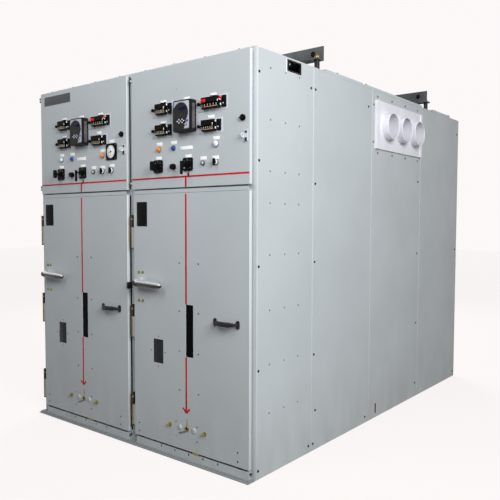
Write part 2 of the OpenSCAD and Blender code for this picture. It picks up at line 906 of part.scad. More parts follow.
module wireway_trim() {
    top = enclosure_h - wireway_drop;
    color(BLACK)
        in_cubicle(RIGHT)
            difference() {
                slab([cubicle_w - sheet, wireway_y, top - wireway_h],
                    [cubicle_w - sheet + trim_t, wireway_y + wireway_l, top]);
                slab([cubicle_w - sheet - eps, wireway_y + trim_w, top - wireway_h + trim_w],
                    [cubicle_w + trim_t + eps, wireway_y + wireway_l - trim_w, top - trim_w]);
            }
}

// Copies children to the studs of one lifting angle
module at_studs() {
    for (x = [-cubicle_w + stud_in, -stud_in, stud_in, cubicle_w - stud_in])
        translate([x, (lift_foot + lift_t) / 2, 0])
            children();
}

// A lifting angle across the whole roof, its foot growing towards +Y from its upright leg
module lifting_angle() {
    difference() {
        union() {
            slab([-cubicle_w, 0, 0], [cubicle_w, lift_t, lift_h]);
            slab([-cubicle_w, 0, 0], [cubicle_w, lift_foot, lift_t]);
        }
        for (s = [-1, 1])
            translate([s * (cubicle_w - lift_hole_in), -eps, (lift_h + lift_t) / 2])
                rotate([-90, 0, 0])
                    cylinder(r = lift_hole_r, h = lift_t + 2 * eps);
        at_studs()
            translate([0, 0, -eps])
                cylinder(r = stud_r + stud_clear, h = lift_t + 2 * eps);
    }
}

// Places children at the front lifting angle, turned to the front, and at the rear one
module at_lifting_angles() {
    translate([0, -enclosure_d / 2, enclosure_h + lift_stand]) {
        translate([0, lift_front_y, 0])
            mirror([0, 1, 0])
                children();
        translate([0, lift_rear_y, 0])
            children();
    }
}

module lifting_angles() {
    color(BLACK)
        at_lifting_angles()
            lifting_angle();
}

module lifting_studs() {
    color(ZINC)
        at_lifting_angles()
            at_studs() {
                translate([0, 0, -lift_stand])
                    cylinder(r = spacer_r, h = lift_stand);
                cylinder(r = stud_r, h = lift_t + nut_h + stud_reach);
                translate([0, 0, lift_t])
                    cylinder(r = nut_r, h = nut_h, $fn = 6);
            }
}

// A fixed knuckle on the frame, with its pin and the pin's nut below it
module fixed_knuckle(z, knuckle_l, sleeve_l) {
    pin_l = sleeve_l + 2 * end_play + pin_nut_l;
    translate([hinge_x, hinge_y, z - knuckle_l]) {
        cylinder(r = knuckle_r, h = knuckle_l);
        slab([leaf_in - knuckle_r, 0, 0], [leaf_in - knuckle_r + leaf_t, hinge_reach, knuckle_l]);
        translate([0, 0, -pin_l]) {
            cylinder(r = pin_r, h = pin_l + eps);
            cylinder(r = pin_nut_r, h = pin_nut_l);
        }
    }
}

module frame_hinges() {
    color(BLACK)
        for (i = CUBICLES)
            in_cubicle(i) {
                for (z = breaker_hinge_z)
                    fixed_knuckle(z, breaker_knuckle_l, breaker_sleeve_l);
                for (z = control_hinge_z)
                    fixed_knuckle(z, control_knuckle_l, control_sleeve_l);
            }
}

// A door's hinge sleeve with the leaf that joins it to the door's edge
module hinge_sleeve(z, knuckle_l, sleeve_l, edge) {
    translate([hinge_x, hinge_y, z - knuckle_l - end_play - sleeve_l])
        difference() {
            union() {
                cylinder(r = sleeve_r, h = sleeve_l);
                slab([0, -leaf_t / 2, 0], [edge - hinge_x + eps, leaf_t / 2, sleeve_l]);
            }
            translate([0, 0, -eps])
                cylinder(r = pin_r + run_clear, h = sleeve_l + 2 * eps);
        }
}

// A folded door pan, open at the back inside its lips
module door_pan(left, bottom, top) {
    difference() {
        slab([left, door_face, bottom], [door_right, door_back, top]);
        slab([left + sheet, door_face + sheet, bottom + sheet],
            [door_right - sheet, door_back - sheet, top - sheet]);
        slab([left + door_lip, door_face + sheet, bottom + door_lip],
            [door_right - door_lip, door_back + eps, top - door_lip]);
    }
}

// A round hole through a door's sheet
module door_hole(at, r) {
    on_door(at, -sheet - eps)
        cylinder(r = r, h = sheet + 2 * eps);
}

// A square-cornered hole through a door's sheet, from its lower left corner
module door_window(at, w, h) {
    slab([at[0], door_face - eps, at[1]], [at[0] + w, door_face + sheet + eps, at[1] + h]);
}

module control_door(i) {
    color(PAINT)
        in_cubicle(i) {
            difference() {
                door_pan(control_left, control_bottom, control_top);
                door_hole(latch_at, shaft_r + run_clear);
            }
            for (z = control_hinge_z)
                hinge_sleeve(z, control_knuckle_l, control_sleeve_l, control_left);
        }
}

module breaker_door(i) {
    color(PAINT)
        in_cubicle(i) {
            difference() {
                door_pan(breaker_left, breaker_bottom, breaker_top);
                door_window(slot_at, slot_w, slot_h);
                door_window(window_at, window_w, window_h);
                door_window(racking_at - [key_slot_w / 2, 0], key_slot_w, key_slot_h);
                door_hole(racking_at, rack_hole_r);
                door_hole(lever_at, spindle_r + run_clear);
            }
            for (s = [-1, 1])
                on_door(racking_at + [s * cover_out, 0])
                    cylinder(r = cover_r, h = cover_t);
            for (z = breaker_hinge_z)
                hinge_sleeve(z, breaker_knuckle_l, breaker_sleeve_l, breaker_left);
        }
}

module window_pane(at, w, h) {
    slab([at[0] - pane_lap, door_face + sheet, at[1] - pane_lap],
        [at[0] + w + pane_lap, door_face + sheet + pane_t, at[1] + h + pane_lap]);
}

module window_panes(i) {
    color(BLACK)
        in_cubicle(i) {
            window_pane(slot_at, slot_w, slot_h);
            window_pane(window_at, window_w, window_h);
        }
}

// Outline of the relay's key panel: a round arch over straight sides, cut aslant at the lower right
module key_panel() {
    r = key_panel_w / 2;
    low = -key_panel_h / 2;
    spring = low + key_panel_h - r;
    translate([-key_panel_left, 0]) {
        translate([0, spring])
            circle(r);
        polygon([[-r, low], [r - slant_w, low], [r, spring - slant_drop], [r, spring], [-r, spring]]);
    }
}

// The relay's arrow keys in two crosses that share one key, and its two enter keys
module relay_keys() {
    translate([-key_left, -key_drop]) {
        for (k = [-1, 1, 3])
            translate([k * key_step, 0])
                circle(key_r);
        for (k = [0, 2], s = [-1, 1])
            translate([k * key_step, s * key_lift])
                circle(key_r);
    }
    for (s = [-1, 1])
        translate([enter_right + s * enter_slant, -enter_drop + s * enter_step])
            round_bar(enter_l, enter_w);
}

// The protection relay: case, face plate, arched key panel, screen and keys
module relay(i) {
    panel_top = case_d + key_panel_t;
    color(BLACK)
        in_cubicle(i)
            on_door(relay_at) {
                linear_extrude(case_d - relay_face_t)
                    round_rect(relay_w, relay_h, corner_r);
                linear_extrude(case_d)
                    difference() {
                        round_rect(relay_w - 2 * relay_edge, relay_h - 2 * relay_edge, corner_r);
                        translate([screen_right, screen_rise])
                            square([screen_w, screen_h], center = true);
                    }
                linear_extrude(panel_top - screen_deep)
                    key_panel();
                linear_extrude(panel_top)
                    difference() {
                        key_panel();
                        translate([screen_right, screen_rise])
                            square([screen_w, screen_h], center = true);
                    }
                linear_extrude(panel_top + key_h)
                    relay_keys();
            }
}

// A test switch: stepped main block with its blades and thumb nut, and an end block beside it
module test_switch(x, z, w) {
    main_w = w - test_end_w - test_slot_w;
    row_y = test_step - test_d;
    lip_y = test_lip_set - test_d;
    translate([x, door_face, z - test_h / 2]) {
        slab([w - test_end_w, row_y, 0], [w, 0, test_h]);
        rotate([90, 0, 90])
            linear_extrude(main_w)
                polygon([[0, 0], [lip_y, 0], [lip_y, test_lip_h], [row_y, test_lip_h], [row_y, test_row],
                    [-test_d, test_row + test_step / 2], [-test_d, test_h], [0, test_h]]);
        for (k = [1:test_blades])
            translate([main_w * k / (test_blades + 1), row_y, (test_lip_h + test_row) / 2])
                cube([blade_w, 2 * blade_out, blade_h], center = true);
        translate([-thumb_reach, -test_d / 2, test_h / 2])
            rotate([0, 90, 0]) {
                cylinder(r = thumb_r, h = thumb_l);
                cylinder(r = thumb_r / 2, h = thumb_reach + eps);
            }
    }
}

module test_switches(i) {
    left = panel_x - test_left_out;
    right = panel_x + test_right_out;
    high = control_bottom + test_high_rise;
    low = control_bottom + test_low_rise;
    color(BLACK)
        in_cubicle(i) {
            test_switch(left, high, test_w_left);
            test_switch(left, low, test_w_left);
            test_switch(right, high - test_right_drop, test_w_right);
            test_switch(right, low - test_right_drop, test_w_low);
        }
}

// A pilot lamp: bezel with a domed lens
module lamp() {
    cylinder(r = lamp_r, h = lamp_h);
    intersection() {
        translate([0, 0, lamp_h])
            sphere(lens_r);
        cylinder(r = lamp_r, h = lamp_h + lens_r);
    }
}

module lamps(i) {
    color(WHITE)
        in_cubicle(i)
            for (x = lamp_x)
                on_door([x, lamp_z])
                    lamp();
}

module meter_left() {
    color(BLACK)
        in_cubicle(LEFT)
            on_door(meter_at) {
                linear_extrude(meter_t)
                    round_rect(meter_w, meter_w, corner_r);
                linear_extrude(meter_t + meter_rim_h)
                    difference() {
                        circle(meter_rim_r);
                        circle(meter_rim_r - meter_rim_w);
                    }
            }
}

// A rotary switch's plate and collar, with the bore for its shaft
module switch_base(at) {
    on_door(at)
        difference() {
            union() {
                linear_extrude(switch_plate_t)
                    round_rect(switch_plate, switch_plate, corner_r);
                cylinder(r = collar_r, h = switch_plate_t + collar_l);
            }
            translate([0, 0, switch_plate_t / 2])
                cylinder(r = shaft_r + run_clear, h = switch_plate_t + collar_l);
        }
}

// A lever switch's bezel, with the bore for its shaft
module lever_bezel(at) {
    on_door(at)
        difference() {
            cylinder(r = bezel_ring_r, h = bezel_ring_h);
            translate([0, 0, bezel_ring_h / 2])
                cylinder(r = shaft_r + run_clear, h = bezel_ring_h);
        }
}

// The fixed parts of the switches, with the round knob and the push button
module switch_bases(i) {
    color(BLACK)
        in_cubicle(i) {
            switch_base(selector_at);
            switch_base(breaker_switch_at);
            on_door(knob_at) {
                cylinder(r = knob_skirt_r, h = knob_skirt_h);
                cylinder(r = knob_head_r, h = knob_reach);
            }
            on_door(button_at) {
                linear_extrude(button_h)
                    difference() {
                        circle(button_r);
                        circle(button_r - button_rim);
                    }
                cylinder(r = button_r - button_rim / 2, h = button_h / 2);
            }
            lever_bezel(key_at);
            if (i == LEFT)
                lever_bezel(spare_at);
        }
}

// A switch shaft, from inside its bore out to the grip
module switch_shaft(from, to) {
    translate([0, 0, from])
        cylinder(r = shaft_r, h = to - from);
}

module selector_handle(i) {
    color(BLACK)
        in_cubicle(i)
            on_door(selector_at) {
                switch_shaft(switch_plate_t, grip_reach);
                translate([0, 0, grip_reach - grip_t])
                    linear_extrude(grip_t)
                        rotate(90)
                            round_bar(selector_l, selector_w);
            }
}

// The breaker switch's pistol grip hangs below its shaft
module breaker_handle(i) {
    color(BLACK)
        in_cubicle(i)
            on_door(breaker_switch_at) {
                switch_shaft(switch_plate_t, grip_reach);
                translate([0, 0, grip_reach - breaker_grip_t])
                    linear_extrude(breaker_grip_t)
                        translate([0, collar_r - breaker_grip_l / 2])
                            rotate(90)
                                round_bar(breaker_grip_l, breaker_grip_w);
            }
}

// The lever of a small lever switch
module switch_lever(i, at) {
    low = bezel_ring_h + toggle_gap;
    color(BLACK)
        in_cubicle(i)
            on_door(at) {
                switch_shaft(bezel_ring_h / 2 + eps, low + eps);
                translate([0, 0, low])
                    linear_extrude(toggle_t)
                        rotate(90)
                            round_bar(toggle_l, toggle_w);
            }
}

// The latch knob: round skirt with a pointer to the left and a raised cap
module latch_knob(i) {
    skirt_top = boss_gap + latch_skirt_h;
    color(BLACK)
        in_cubicle(i)
            on_door(latch_at) {
                switch_shaft(-sheet, boss_gap + eps);
                translate([0, 0, boss_gap])
                    linear_extrude(latch_skirt_h) {
                        circle(latch_r);
                        translate([-latch_r - pointer_reach + pointer_w, 0])
                            round_bar(2 * pointer_w, pointer_w);
                    }
                cylinder(r = latch_cap_r, h = skirt_top + latch_cap_h);
            }
}

// The padlock hasp: a plate with an upright eye at its left side
module hasp(i) {
    color(CHROME)
        in_cubicle(i)
            on_door(hasp_at) {
                linear_extrude(sheet)
                    round_rect(hasp_w, hasp_h, sheet);
                translate([eye_t - hasp_w / 2, 0, 0])
                    rotate([0, -90, 0])
                        linear_extrude(eye_t)
                            difference() {
                                union() {
                                    translate([0, -eye_r])
                                        square([eye_reach - eye_r, 2 * eye_r]);
                                    translate([eye_reach - eye_r, 0])
                                        circle(eye_r);
                                }
                                translate([eye_reach - eye_r, 0])
                                    circle(eye_hole_r);
                            }
            }
}

// Profile of the lever's turned arm: radius across, distance from the pivot upwards
module arm_profile() {
    straight = lever_l - lever_tip_r;
    polygon([[0, 0], [lever_root_r, 0], [lever_grip_r, lever_swell], [lever_tip_r, straight], [0, straight]]);
    intersection() {
        translate([0, straight])
            circle(lever_tip_r);
        square([lever_tip_r, lever_l]);
    }
}

// The lever: boss on its spindle and a thick turned arm that swells towards its round tip
module lever(i) {
    color(CHROME)
        in_cubicle(i)
            on_door(lever_at) {
                translate([0, 0, -sheet])
                    cylinder(r = spindle_r, h = sheet + lever_stand);
                translate([0, 0, boss_gap])
                    cylinder(r = lever_boss_r, h = lever_stand - boss_gap);
                translate([0, 0, lever_stand])
                    cylinder(r1 = lever_boss_r, r2 = lever_tip_r, h = lever_root_r + eps);
                translate([0, 0, lever_stand])
                    rotate([0, 90, -lever_droop])
                        rotate_extrude()
                            arm_profile();
            }
}

// An arc of the pull handle's bow, as a round bar swept about the bow's centre
module bow_arc(bow_r, half, r) {
    rotate([0, 0, -90 - half])
        rotate_extrude(angle = 2 * half)
            translate([bow_r, 0])
                circle(r);
}

// The pull handle: a bowed bar with collars and a thicker grip, between two upright oval feet
module pull_handle(i) {
    sag = pull_reach - pull_grip_r;
    bow_r = (pow(pull_span / 2, 2) + pow(sag, 2)) / (2 * sag);
    half = asin(pull_span / 2 / bow_r);
    overrun = asin(2 * pull_r / bow_r);
    color(BLACK)
        in_cubicle(i) {
            for (s = [-1, 1])
                on_door([pull_at[0] + s * pull_span / 2, pull_at[1]])
                    linear_extrude(pull_foot_t)
                        rotate(90)
                            round_bar(pull_foot_h, pull_foot_w);
            intersection() {
                translate([pull_at[0], door_face + bow_r - sag, pull_at[1]])
                    bow_arc(bow_r, half + overrun, pull_r);
                slab([pull_at[0] - pull_span, door_face - pull_reach, pull_at[1] - pull_foot_h],
                    [pull_at[0] + pull_span, door_face, pull_at[1] + pull_foot_h]);
            }
            translate([pull_at[0], door_face + bow_r - sag, pull_at[1]]) {
                bow_arc(bow_r, half * pull_collar_share, (pull_r + pull_grip_r) / 2);
                bow_arc(bow_r, half * pull_grip_share, pull_grip_r);
            }
        }
}

// Profile of a thumb screw: radius across, height out from the door
module thumb_screw_profile() {
    chamfer = (screw_r - screw_stem_r) / 2;
    head_top = screw_stem_l + screw_head_l;
    polygon([[0, 0], [screw_stem_r, 0], [screw_stem_r, screw_stem_l], [screw_r, screw_stem_l + chamfer],
        [screw_r, head_top - chamfer], [screw_r - chamfer, head_top], [0, head_top]]);
}

// The racking port: a plate behind the keyhole, its socket, and a thumb screw on each side
module racking_port(i) {
    socket_l = rack_plate_t + sheet + socket_proud;
    color(ZINC)
        in_cubicle(i) {
            on_door(racking_at, -sheet - rack_plate_t)
                difference() {
                    union() {
                        linear_extrude(rack_plate_t)
                            round_rect(rack_plate_w, rack_plate_h, corner_r);
                        cylinder(r = rack_hole_r - socket_gap, h = socket_l);
                    }
                    translate([0, 0, -eps])
                        cylinder(r = socket_bore_r, h = socket_l + 2 * eps);
                }
            for (s = [-1, 1])
                on_door(racking_at + [s * screw_out, 0])
                    rotate_extrude()
                        thumb_screw_profile();
        }
}

floor_pans();
base_angle();
front_posts();
front_rails();
kick_plates();
right_front_panel();
right_bus_panel();
right_side_panels();
left_side_panels();
centre_barrier();
roof_plates();
relief_flaps();
rear_panels();
compartment_shelves();
compartment_backs();
bus_bushing();
wireway_trim();
lifting_angles();
lifting_studs();
frame_hinges();
control_door(LEFT);  // control_door_left
relay(LEFT);  // relay_left
test_switches(LEFT);  // test_switches_left
lamps(LEFT);  // lamps_left
meter_left();
switch_bases(LEFT);  // switch_bases_left
breaker_handle(LEFT);  // breaker_handle_left
selector_handle(LEFT);  // selector_handle_left
switch_lever(LEFT, key_at);  // key_lever_left
switch_lever(LEFT, spare_at);  // spare_lever_left
latch_knob(LEFT);  // latch_knob_left
hasp(LEFT);  // hasp_left
breaker_door(LEFT);  // breaker_door_left
window_panes(LEFT);  // window_panes_left
lever(LEFT);  // lever_left
pull_handle(LEFT);  // pull_handle_left
racking_port(LEFT);  // racking_port_left
control_door(RIGHT);  // control_door_right
relay(RIGHT);  // relay_right
test_switches(RIGHT);  // test_switches_right
lamps(RIGHT);  // lamps_right
switch_bases(RIGHT);  // switch_bases_right
breaker_handle(RIGHT);  // breaker_handle_right
selector_handle(RIGHT);  // selector_handle_right
switch_lever(RIGHT, key_at);  // key_lever_right
latch_knob(RIGHT);  // latch_knob_right
hasp(RIGHT);  // hasp_right
breaker_door(RIGHT);  // breaker_door_right
window_panes(RIGHT);  // window_panes_right
lever(RIGHT);  // lever_right
pull_handle(RIGHT);  // pull_handle_right
racking_port(RIGHT);  // racking_port_right
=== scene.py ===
"""Looks of a two-section metal-enclosed switchgear lineup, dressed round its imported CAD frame."""

import logging
import math
from collections.abc import Callable, Iterable, Sequence
from dataclasses import dataclass
from enum import Enum
from typing import ClassVar

import bmesh
import bpy
from mathutils import Matrix, Vector


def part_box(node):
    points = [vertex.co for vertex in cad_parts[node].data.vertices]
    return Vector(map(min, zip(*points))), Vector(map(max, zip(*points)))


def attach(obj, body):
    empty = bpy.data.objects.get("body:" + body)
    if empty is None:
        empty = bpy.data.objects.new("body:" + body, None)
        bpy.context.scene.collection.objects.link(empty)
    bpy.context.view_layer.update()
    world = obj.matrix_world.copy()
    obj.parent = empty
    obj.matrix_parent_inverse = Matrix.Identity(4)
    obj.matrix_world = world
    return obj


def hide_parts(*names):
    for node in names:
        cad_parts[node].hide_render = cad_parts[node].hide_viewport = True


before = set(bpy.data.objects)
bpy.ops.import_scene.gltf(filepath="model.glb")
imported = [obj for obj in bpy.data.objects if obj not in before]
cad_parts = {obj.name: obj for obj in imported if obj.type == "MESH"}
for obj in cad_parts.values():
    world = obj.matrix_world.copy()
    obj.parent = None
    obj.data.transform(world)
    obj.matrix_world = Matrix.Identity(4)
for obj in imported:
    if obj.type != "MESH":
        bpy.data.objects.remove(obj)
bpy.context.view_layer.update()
LOG = logging.getLogger("switchgear")

# One millimetre in metres; every size below is in millimetres unless it says otherwise.
MM = 0.001
TINY = 1e-7
CUBICLE_W = 1067.0
ENCLOSURE_H = 2514.0
ENCLOSURE_D = 3209.0
FRONT_Y = -ENCLOSURE_D / 2
DOOR_FACE = 30.0
MIMIC_X = 541.0
# The hinge line, from a cubicle's left side and forward of the frame.
HINGE_X, HINGE_OUT = 20.0, 22.0
# The colour sockets of a mix node, by number because several share a name.
MIX_FIRST, MIX_SECOND, MIX_RESULT = 6, 7, 2

Colour = Point = tuple[float, float, float]
Spot = tuple[float, float]
Spots = tuple[Spot, ...]
Row = tuple[float, ...]
# The sizes of a shape, in the order that its maker in Shapes takes them.
Sizes = tuple[float, ...]
Solid = bmesh.types.BMesh
Socket = bpy.types.NodeSocket


class Facing(Enum):
    """Which way a surface looks, as its across, up and out axes."""

    FRONT = ((1, 0, 0), (0, 0, 1), (0, -1, 0))
    RIGHT = ((0, 1, 0), (0, 0, 1), (1, 0, 0))
    LEFT = ((0, -1, 0), (0, 0, 1), (-1, 0, 0))
    REAR = ((-1, 0, 0), (0, 0, 1), (0, 1, 0))
    TOP = ((1, 0, 0), (0, 1, 0), (0, 0, 1))


class Side(Enum):
    """One of the two cubicles, valued by the place of its left side."""

    LEFT = -CUBICLE_W
    RIGHT = 0.0


class Head(Enum):
    """Kinds of fastener head."""

    HEX = "hex"
    PAN = "pan"


class LensColour(Enum):
    """Colours of the pilot lamps."""

    CLEAR = (0.86, 0.88, 0.95)
    BLUE = (0.01, 0.27, 0.62)
    AMBER = (1.0, 0.50, 0.0)

    @property
    def finish(self) -> "Finish":
        """The finish of a lens of this colour."""
        return Finish(f"lens_{self.name.lower()}", self.value, 0.26, drift=(0.08, 0.01), specular=0.2)


def linear(colour: Colour) -> tuple[float, float, float, float]:
    """Turns a colour as it is seen into the linear values that shaders use.

    Args:
        colour: red, green and blue from 0 to 1, as displayed.

    Returns:
        The linear colour with full opacity.
    """
    def channel(c: float) -> float:
        """One channel of the sRGB curve."""
        return c / 12.92 if c <= 0.04045 else ((c + 0.055) / 1.055) ** 2.4

    return (channel(colour[0]), channel(colour[1]), channel(colour[2]), 1.0)


def scaled(colour: Colour, share: float) -> Colour:
    """A colour made lighter or darker by a share."""
    return tuple(min(1.0, c * share) for c in colour)


def grid(columns: Iterable[float], rows: Iterable[float]) -> list[Spot]:
    """The crossings of some columns and rows."""
    return [(x, z) for x in columns for z in rows]


class Graph:
    """The node tree of one material in the making."""

    # The part of its range that a noise mostly fills.
    NOISE_RANGE = (0.3, 0.7)

    def __init__(self, name: str) -> None:
        """Starts a material with its principled shader.

        Args:
            name: the material's name.
        """
        self.material = bpy.data.materials.new(name)
        self.material.use_nodes = True
        self.tree = self.material.node_tree
        self.shader = self.tree.nodes["Principled BSDF"]
        self.place = self.node("ShaderNodeTexCoord").outputs["Object"]

    def node(self, kind: str, **values: object) -> bpy.types.Node:
        """Adds a node and sets its properties.

        Args:
            kind: the node's type name.
            values: properties to set on it.

        Returns:
            The new node.
        """
        node = self.tree.nodes.new(kind)
        for key, value in values.items():
            setattr(node, key, value)
        return node

    def link(self, source: Socket, target: Socket) -> None:
        """Joins two sockets."""
        self.tree.links.new(source, target)

    def noise(self, size: float, detail: float, stretch: Point = (1, 1, 1)) -> Socket:
        """Noise on the object's own coordinates.

        Args:
            size: size of its features in metres.
            detail: number of finer layers.
            stretch: scale of the coordinates along each axis.

        Returns:
            The noise's value.
        """
        mapping = self.node("ShaderNodeMapping")
        mapping.inputs["Scale"].default_value = stretch
        self.link(self.place, mapping.inputs["Vector"])
        noise = self.node("ShaderNodeTexNoise")
        noise.inputs["Scale"].default_value = 1.0 / size
        noise.inputs["Detail"].default_value = detail
        self.link(mapping.outputs["Vector"], noise.inputs["Vector"])
        return noise.outputs["Fac"]

    def ranged(self, source: Socket, span: Spot, to_low: float, to_high: float) -> Socket:
        """Maps a value from its range to another, held inside it.

        Args:
            source: the value to map.
            span: start and end of its range.
            to_low: result at the start.
            to_high: result at the end.

        Returns:
            The mapped value.
        """
        node = self.node("ShaderNodeMapRange")
        for key, value in zip(("From Min", "From Max", "To Min", "To Max"), (*span, to_low, to_high)):
            node.inputs[key].default_value = value
        self.link(source, node.inputs["Value"])
        return node.outputs["Result"]

    def mixed(self, share: Socket, first: Socket | Colour, second: Colour) -> Socket:
        """Blends two colours.

        Args:
            share: how much of the second colour shows.
            first: the colour underneath, or a socket that gives it.
            second: the colour on top.

        Returns:
            The blended colour.
        """
        node = self.node("ShaderNodeMix", data_type="RGBA")
        self.link(share, node.inputs["Factor"])
        if isinstance(first, tuple):
            node.inputs[MIX_FIRST].default_value = linear(first)
        else:
            self.link(first, node.inputs[MIX_FIRST])
        node.inputs[MIX_SECOND].default_value = linear(second)
        return node.outputs[MIX_RESULT]


@dataclass(frozen=True)
class Finish:
    """A finish with drifting colour, fine bump and uneven gloss; lengths are in metres."""

    name: str
    colour: Colour
    roughness: float
    metallic: float = 0.0
    # Share and size of the drift, size and strength of the bump.
    drift: Spot = (0.05, 0.01)
    grain: Spot = (0.0008, 0.12)
    specular: float = 0.5
    stretch: Point = (1.0, 1.0, 1.0)
    gloss_swing: float = 0.15

    def base(self, graph: Graph) -> Socket:
        """The colour with its slow drift.

        Args:
            graph: the material in the making.

        Returns:
            The socket that carries the colour.
        """
        swing, size = self.drift
        share = graph.ranged(graph.noise(size, detail=3.0, stretch=self.stretch), graph.NOISE_RANGE, 0.0, 1.0)
        return graph.mixed(share, scaled(self.colour, 1.0 - swing), scaled(self.colour, 1.0 + swing))

    def material(self) -> bpy.types.Material:
        """Builds the finish's material, or finds it when it is there already.

        Returns:
            The material.
        """
        if self.name in bpy.data.materials:
            return bpy.data.materials[self.name]
        graph = Graph(self.name)
        shader = graph.shader
        graph.link(self.base(graph), shader.inputs["Base Color"])
        shader.inputs["Metallic"].default_value = self.metallic
        shader.inputs["Specular IOR Level"].default_value = self.specular
        # Patches of gloss are a third as wide as the drift's, and the bump is a quarter as deep as its grain is wide.
        patches = graph.noise(self.drift[1] / 3, detail=2.0, stretch=self.stretch)
        gloss = graph.ranged(patches, graph.NOISE_RANGE, self.roughness * (1.0 - self.gloss_swing),
                             min(1.0, self.roughness * (1.0 + self.gloss_swing)))
        graph.link(gloss, shader.inputs["Roughness"])
        size, depth = self.grain
        bump = graph.node("ShaderNodeBump")
        bump.inputs["Strength"].default_value = depth
        bump.inputs["Distance"].default_value = size / 4
        graph.link(graph.noise(size, detail=2.0, stretch=self.stretch), bump.inputs["Height"])
        graph.link(bump.outputs["Normal"], shader.inputs["Normal"])
        graph.material.diffuse_color = linear(self.colour)
        return graph.material


@dataclass(frozen=True)
class SheetPaint(Finish):
    """Sprayed enamel on sheet steel: paler along every edge, which is wear and a painted highlight, and darker towards
    the floor, which is dust and painted shade.
    """

    # Paler edges: wear and a painted highlight.
    edge_wear_and_highlight_colour: Colour = (0.86, 0.88, 0.89)
    edge_radius: float = 0.003
    edge_wear_and_highlight_share: float = 0.55
    # Cosines of the turn at which an edge starts to show and shows in full.
    edge_span: Spot = (0.98, 0.80)
    # Darker, browner clouds towards the floor: dust and painted shade.
    dust_and_shade_colour: Colour = (0.58, 0.57, 0.54)
    dust_and_shade_height: float = 0.55
    dust_and_shade_share: float = 0.30
    cloud_size: float = 0.12
    cloud_stretch: Point = (1.0, 1.0, 0.35)
    cloud_span: Spot = (0.35, 0.65)
    cloud_least: float = 0.2

    def base(self, graph: Graph) -> Socket:
        """The drifting colour with paler edges, wear and painted highlight, and darker clouds of dust and painted
        shade towards the floor over it.

        Args:
            graph: the material in the making.

        Returns:
            The socket that carries the colour.
        """
        # Paler edges, wear and painted highlight, where the bevelled normal turns from the true one.
        bevel = graph.node("ShaderNodeBevel", samples=4)
        bevel.inputs["Radius"].default_value = self.edge_radius
        normal = graph.node("ShaderNodeNewGeometry").outputs["True Normal"]
        turn = graph.node("ShaderNodeVectorMath", operation="DOT_PRODUCT")
        graph.link(bevel.outputs["Normal"], turn.inputs[0])
        graph.link(normal, turn.inputs[1])
        edge = graph.ranged(turn.outputs["Value"], self.edge_span, 0.0, self.edge_wear_and_highlight_share)
        colour = graph.mixed(edge, super().base(graph), self.edge_wear_and_highlight_colour)
        # Darker towards the floor in clouds: dust and painted shade.
        height = graph.node("ShaderNodeSeparateXYZ")
        graph.link(graph.place, height.inputs["Vector"])
        low = graph.ranged(height.outputs["Z"], (0.0, self.dust_and_shade_height), self.dust_and_shade_share, 0.0)
        noise = graph.noise(self.cloud_size, detail=4.0, stretch=self.cloud_stretch)
        cloud = graph.ranged(noise, self.cloud_span, self.cloud_least, 1.0)
        dust = graph.node("ShaderNodeMath", operation="MULTIPLY")
        graph.link(low, dust.inputs[0])
        graph.link(cloud, dust.inputs[1])
        return graph.mixed(dust.outputs["Value"], colour, self.dust_and_shade_colour)


@dataclass(frozen=True)
class SheenPaintedMetal(Finish):
    """Polished plating with painted light: a painted highlight where it looks up, painted shade where it looks down.
    """

    # Painted shade colour where the surface looks down.
    under: Colour = (0.19, 0.195, 0.19)
    # Upward part of the normal where the painted highlight starts and where it is full.
    up_span: Spot = (0.05, 0.92)

    def base(self, graph: Graph) -> Socket:
        """The colour with painted highlight and painted shade by the way the surface looks.

        Args:
            graph: the material in the making.

        Returns:
            The socket that carries the colour.
        """
        split = graph.node("ShaderNodeSeparateXYZ")
        graph.link(graph.node("ShaderNodeTexCoord").outputs["Normal"], split.inputs["Vector"])
        share = graph.ranged(split.outputs["Z"], self.up_span, 0.0, 1.0)
        return graph.mixed(share, self.under, self.colour)


GREY_PAINT = SheetPaint("grey_enamel", (0.745, 0.775, 0.79), 0.45, drift=(0.016, 0.5), grain=(0.0035, 0.05),
                        specular=0.35)
# Pale enamel: the hasp's own colour, and a painted highlight on the seam lips, corner bands and door edges.
PALE_AND_HIGHLIGHT_PAINT = SheetPaint("pale_enamel_and_highlight", (0.80, 0.825, 0.845), 0.45, drift=(0.012, 0.4), grain=(0.0035, 0.05),
                        specular=0.35)
# Painted shade on the side walls' front corners and in the line under the roof.
EDGE_SHADE = SheetPaint("edge_painted_shade", (0.60, 0.625, 0.64), 0.5, drift=(0.02, 0.4), specular=0.3)
BASE_PAINT = SheetPaint("base_enamel", (0.53, 0.555, 0.575), 0.5, drift=(0.04, 0.3), specular=0.3)
MIMIC_RED = Finish("mimic_red", (0.74, 0.10, 0.14), 0.5, drift=(0.06, 0.03), specular=0.25)
BLACK_PLASTIC = Finish("black_phenolic", (0.045, 0.045, 0.05), 0.42, drift=(0.12, 0.02), specular=0.06)
BLACK_STEEL = Finish("black_painted_steel", (0.09, 0.09, 0.095), 0.48, drift=(0.18, 0.04), grain=(0.002, 0.15),
                     specular=0.2)
LIFT_STEEL = Finish("lifting_steel", (0.32, 0.325, 0.335), 0.5, drift=(0.22, 0.25), grain=(0.002, 0.15),
                    specular=0.15)
YELLOW_ZINC = Finish("yellow_zinc", (0.51, 0.455, 0.23), 0.40, metallic=0.6, drift=(0.20, 0.012))
OLIVE_ZINC = Finish("olive_zinc", (0.43, 0.375, 0.22), 0.42, metallic=0.5, drift=(0.16, 0.015))
DARK_ZINC = Finish("dark_zinc", (0.26, 0.275, 0.285), 0.45, metallic=0.4, drift=(0.12, 0.01))
GREY_ZINC = Finish("grey_zinc", (0.42, 0.44, 0.45), 0.42, metallic=0.6, drift=(0.12, 0.01))
PALE_ZINC = Finish("pale_zinc", (0.72, 0.745, 0.755), 0.38, metallic=0.35, drift=(0.05, 0.02))
BRASS = Finish("brass", (0.66, 0.60, 0.50), 0.36, metallic=0.5, drift=(0.15, 0.01))
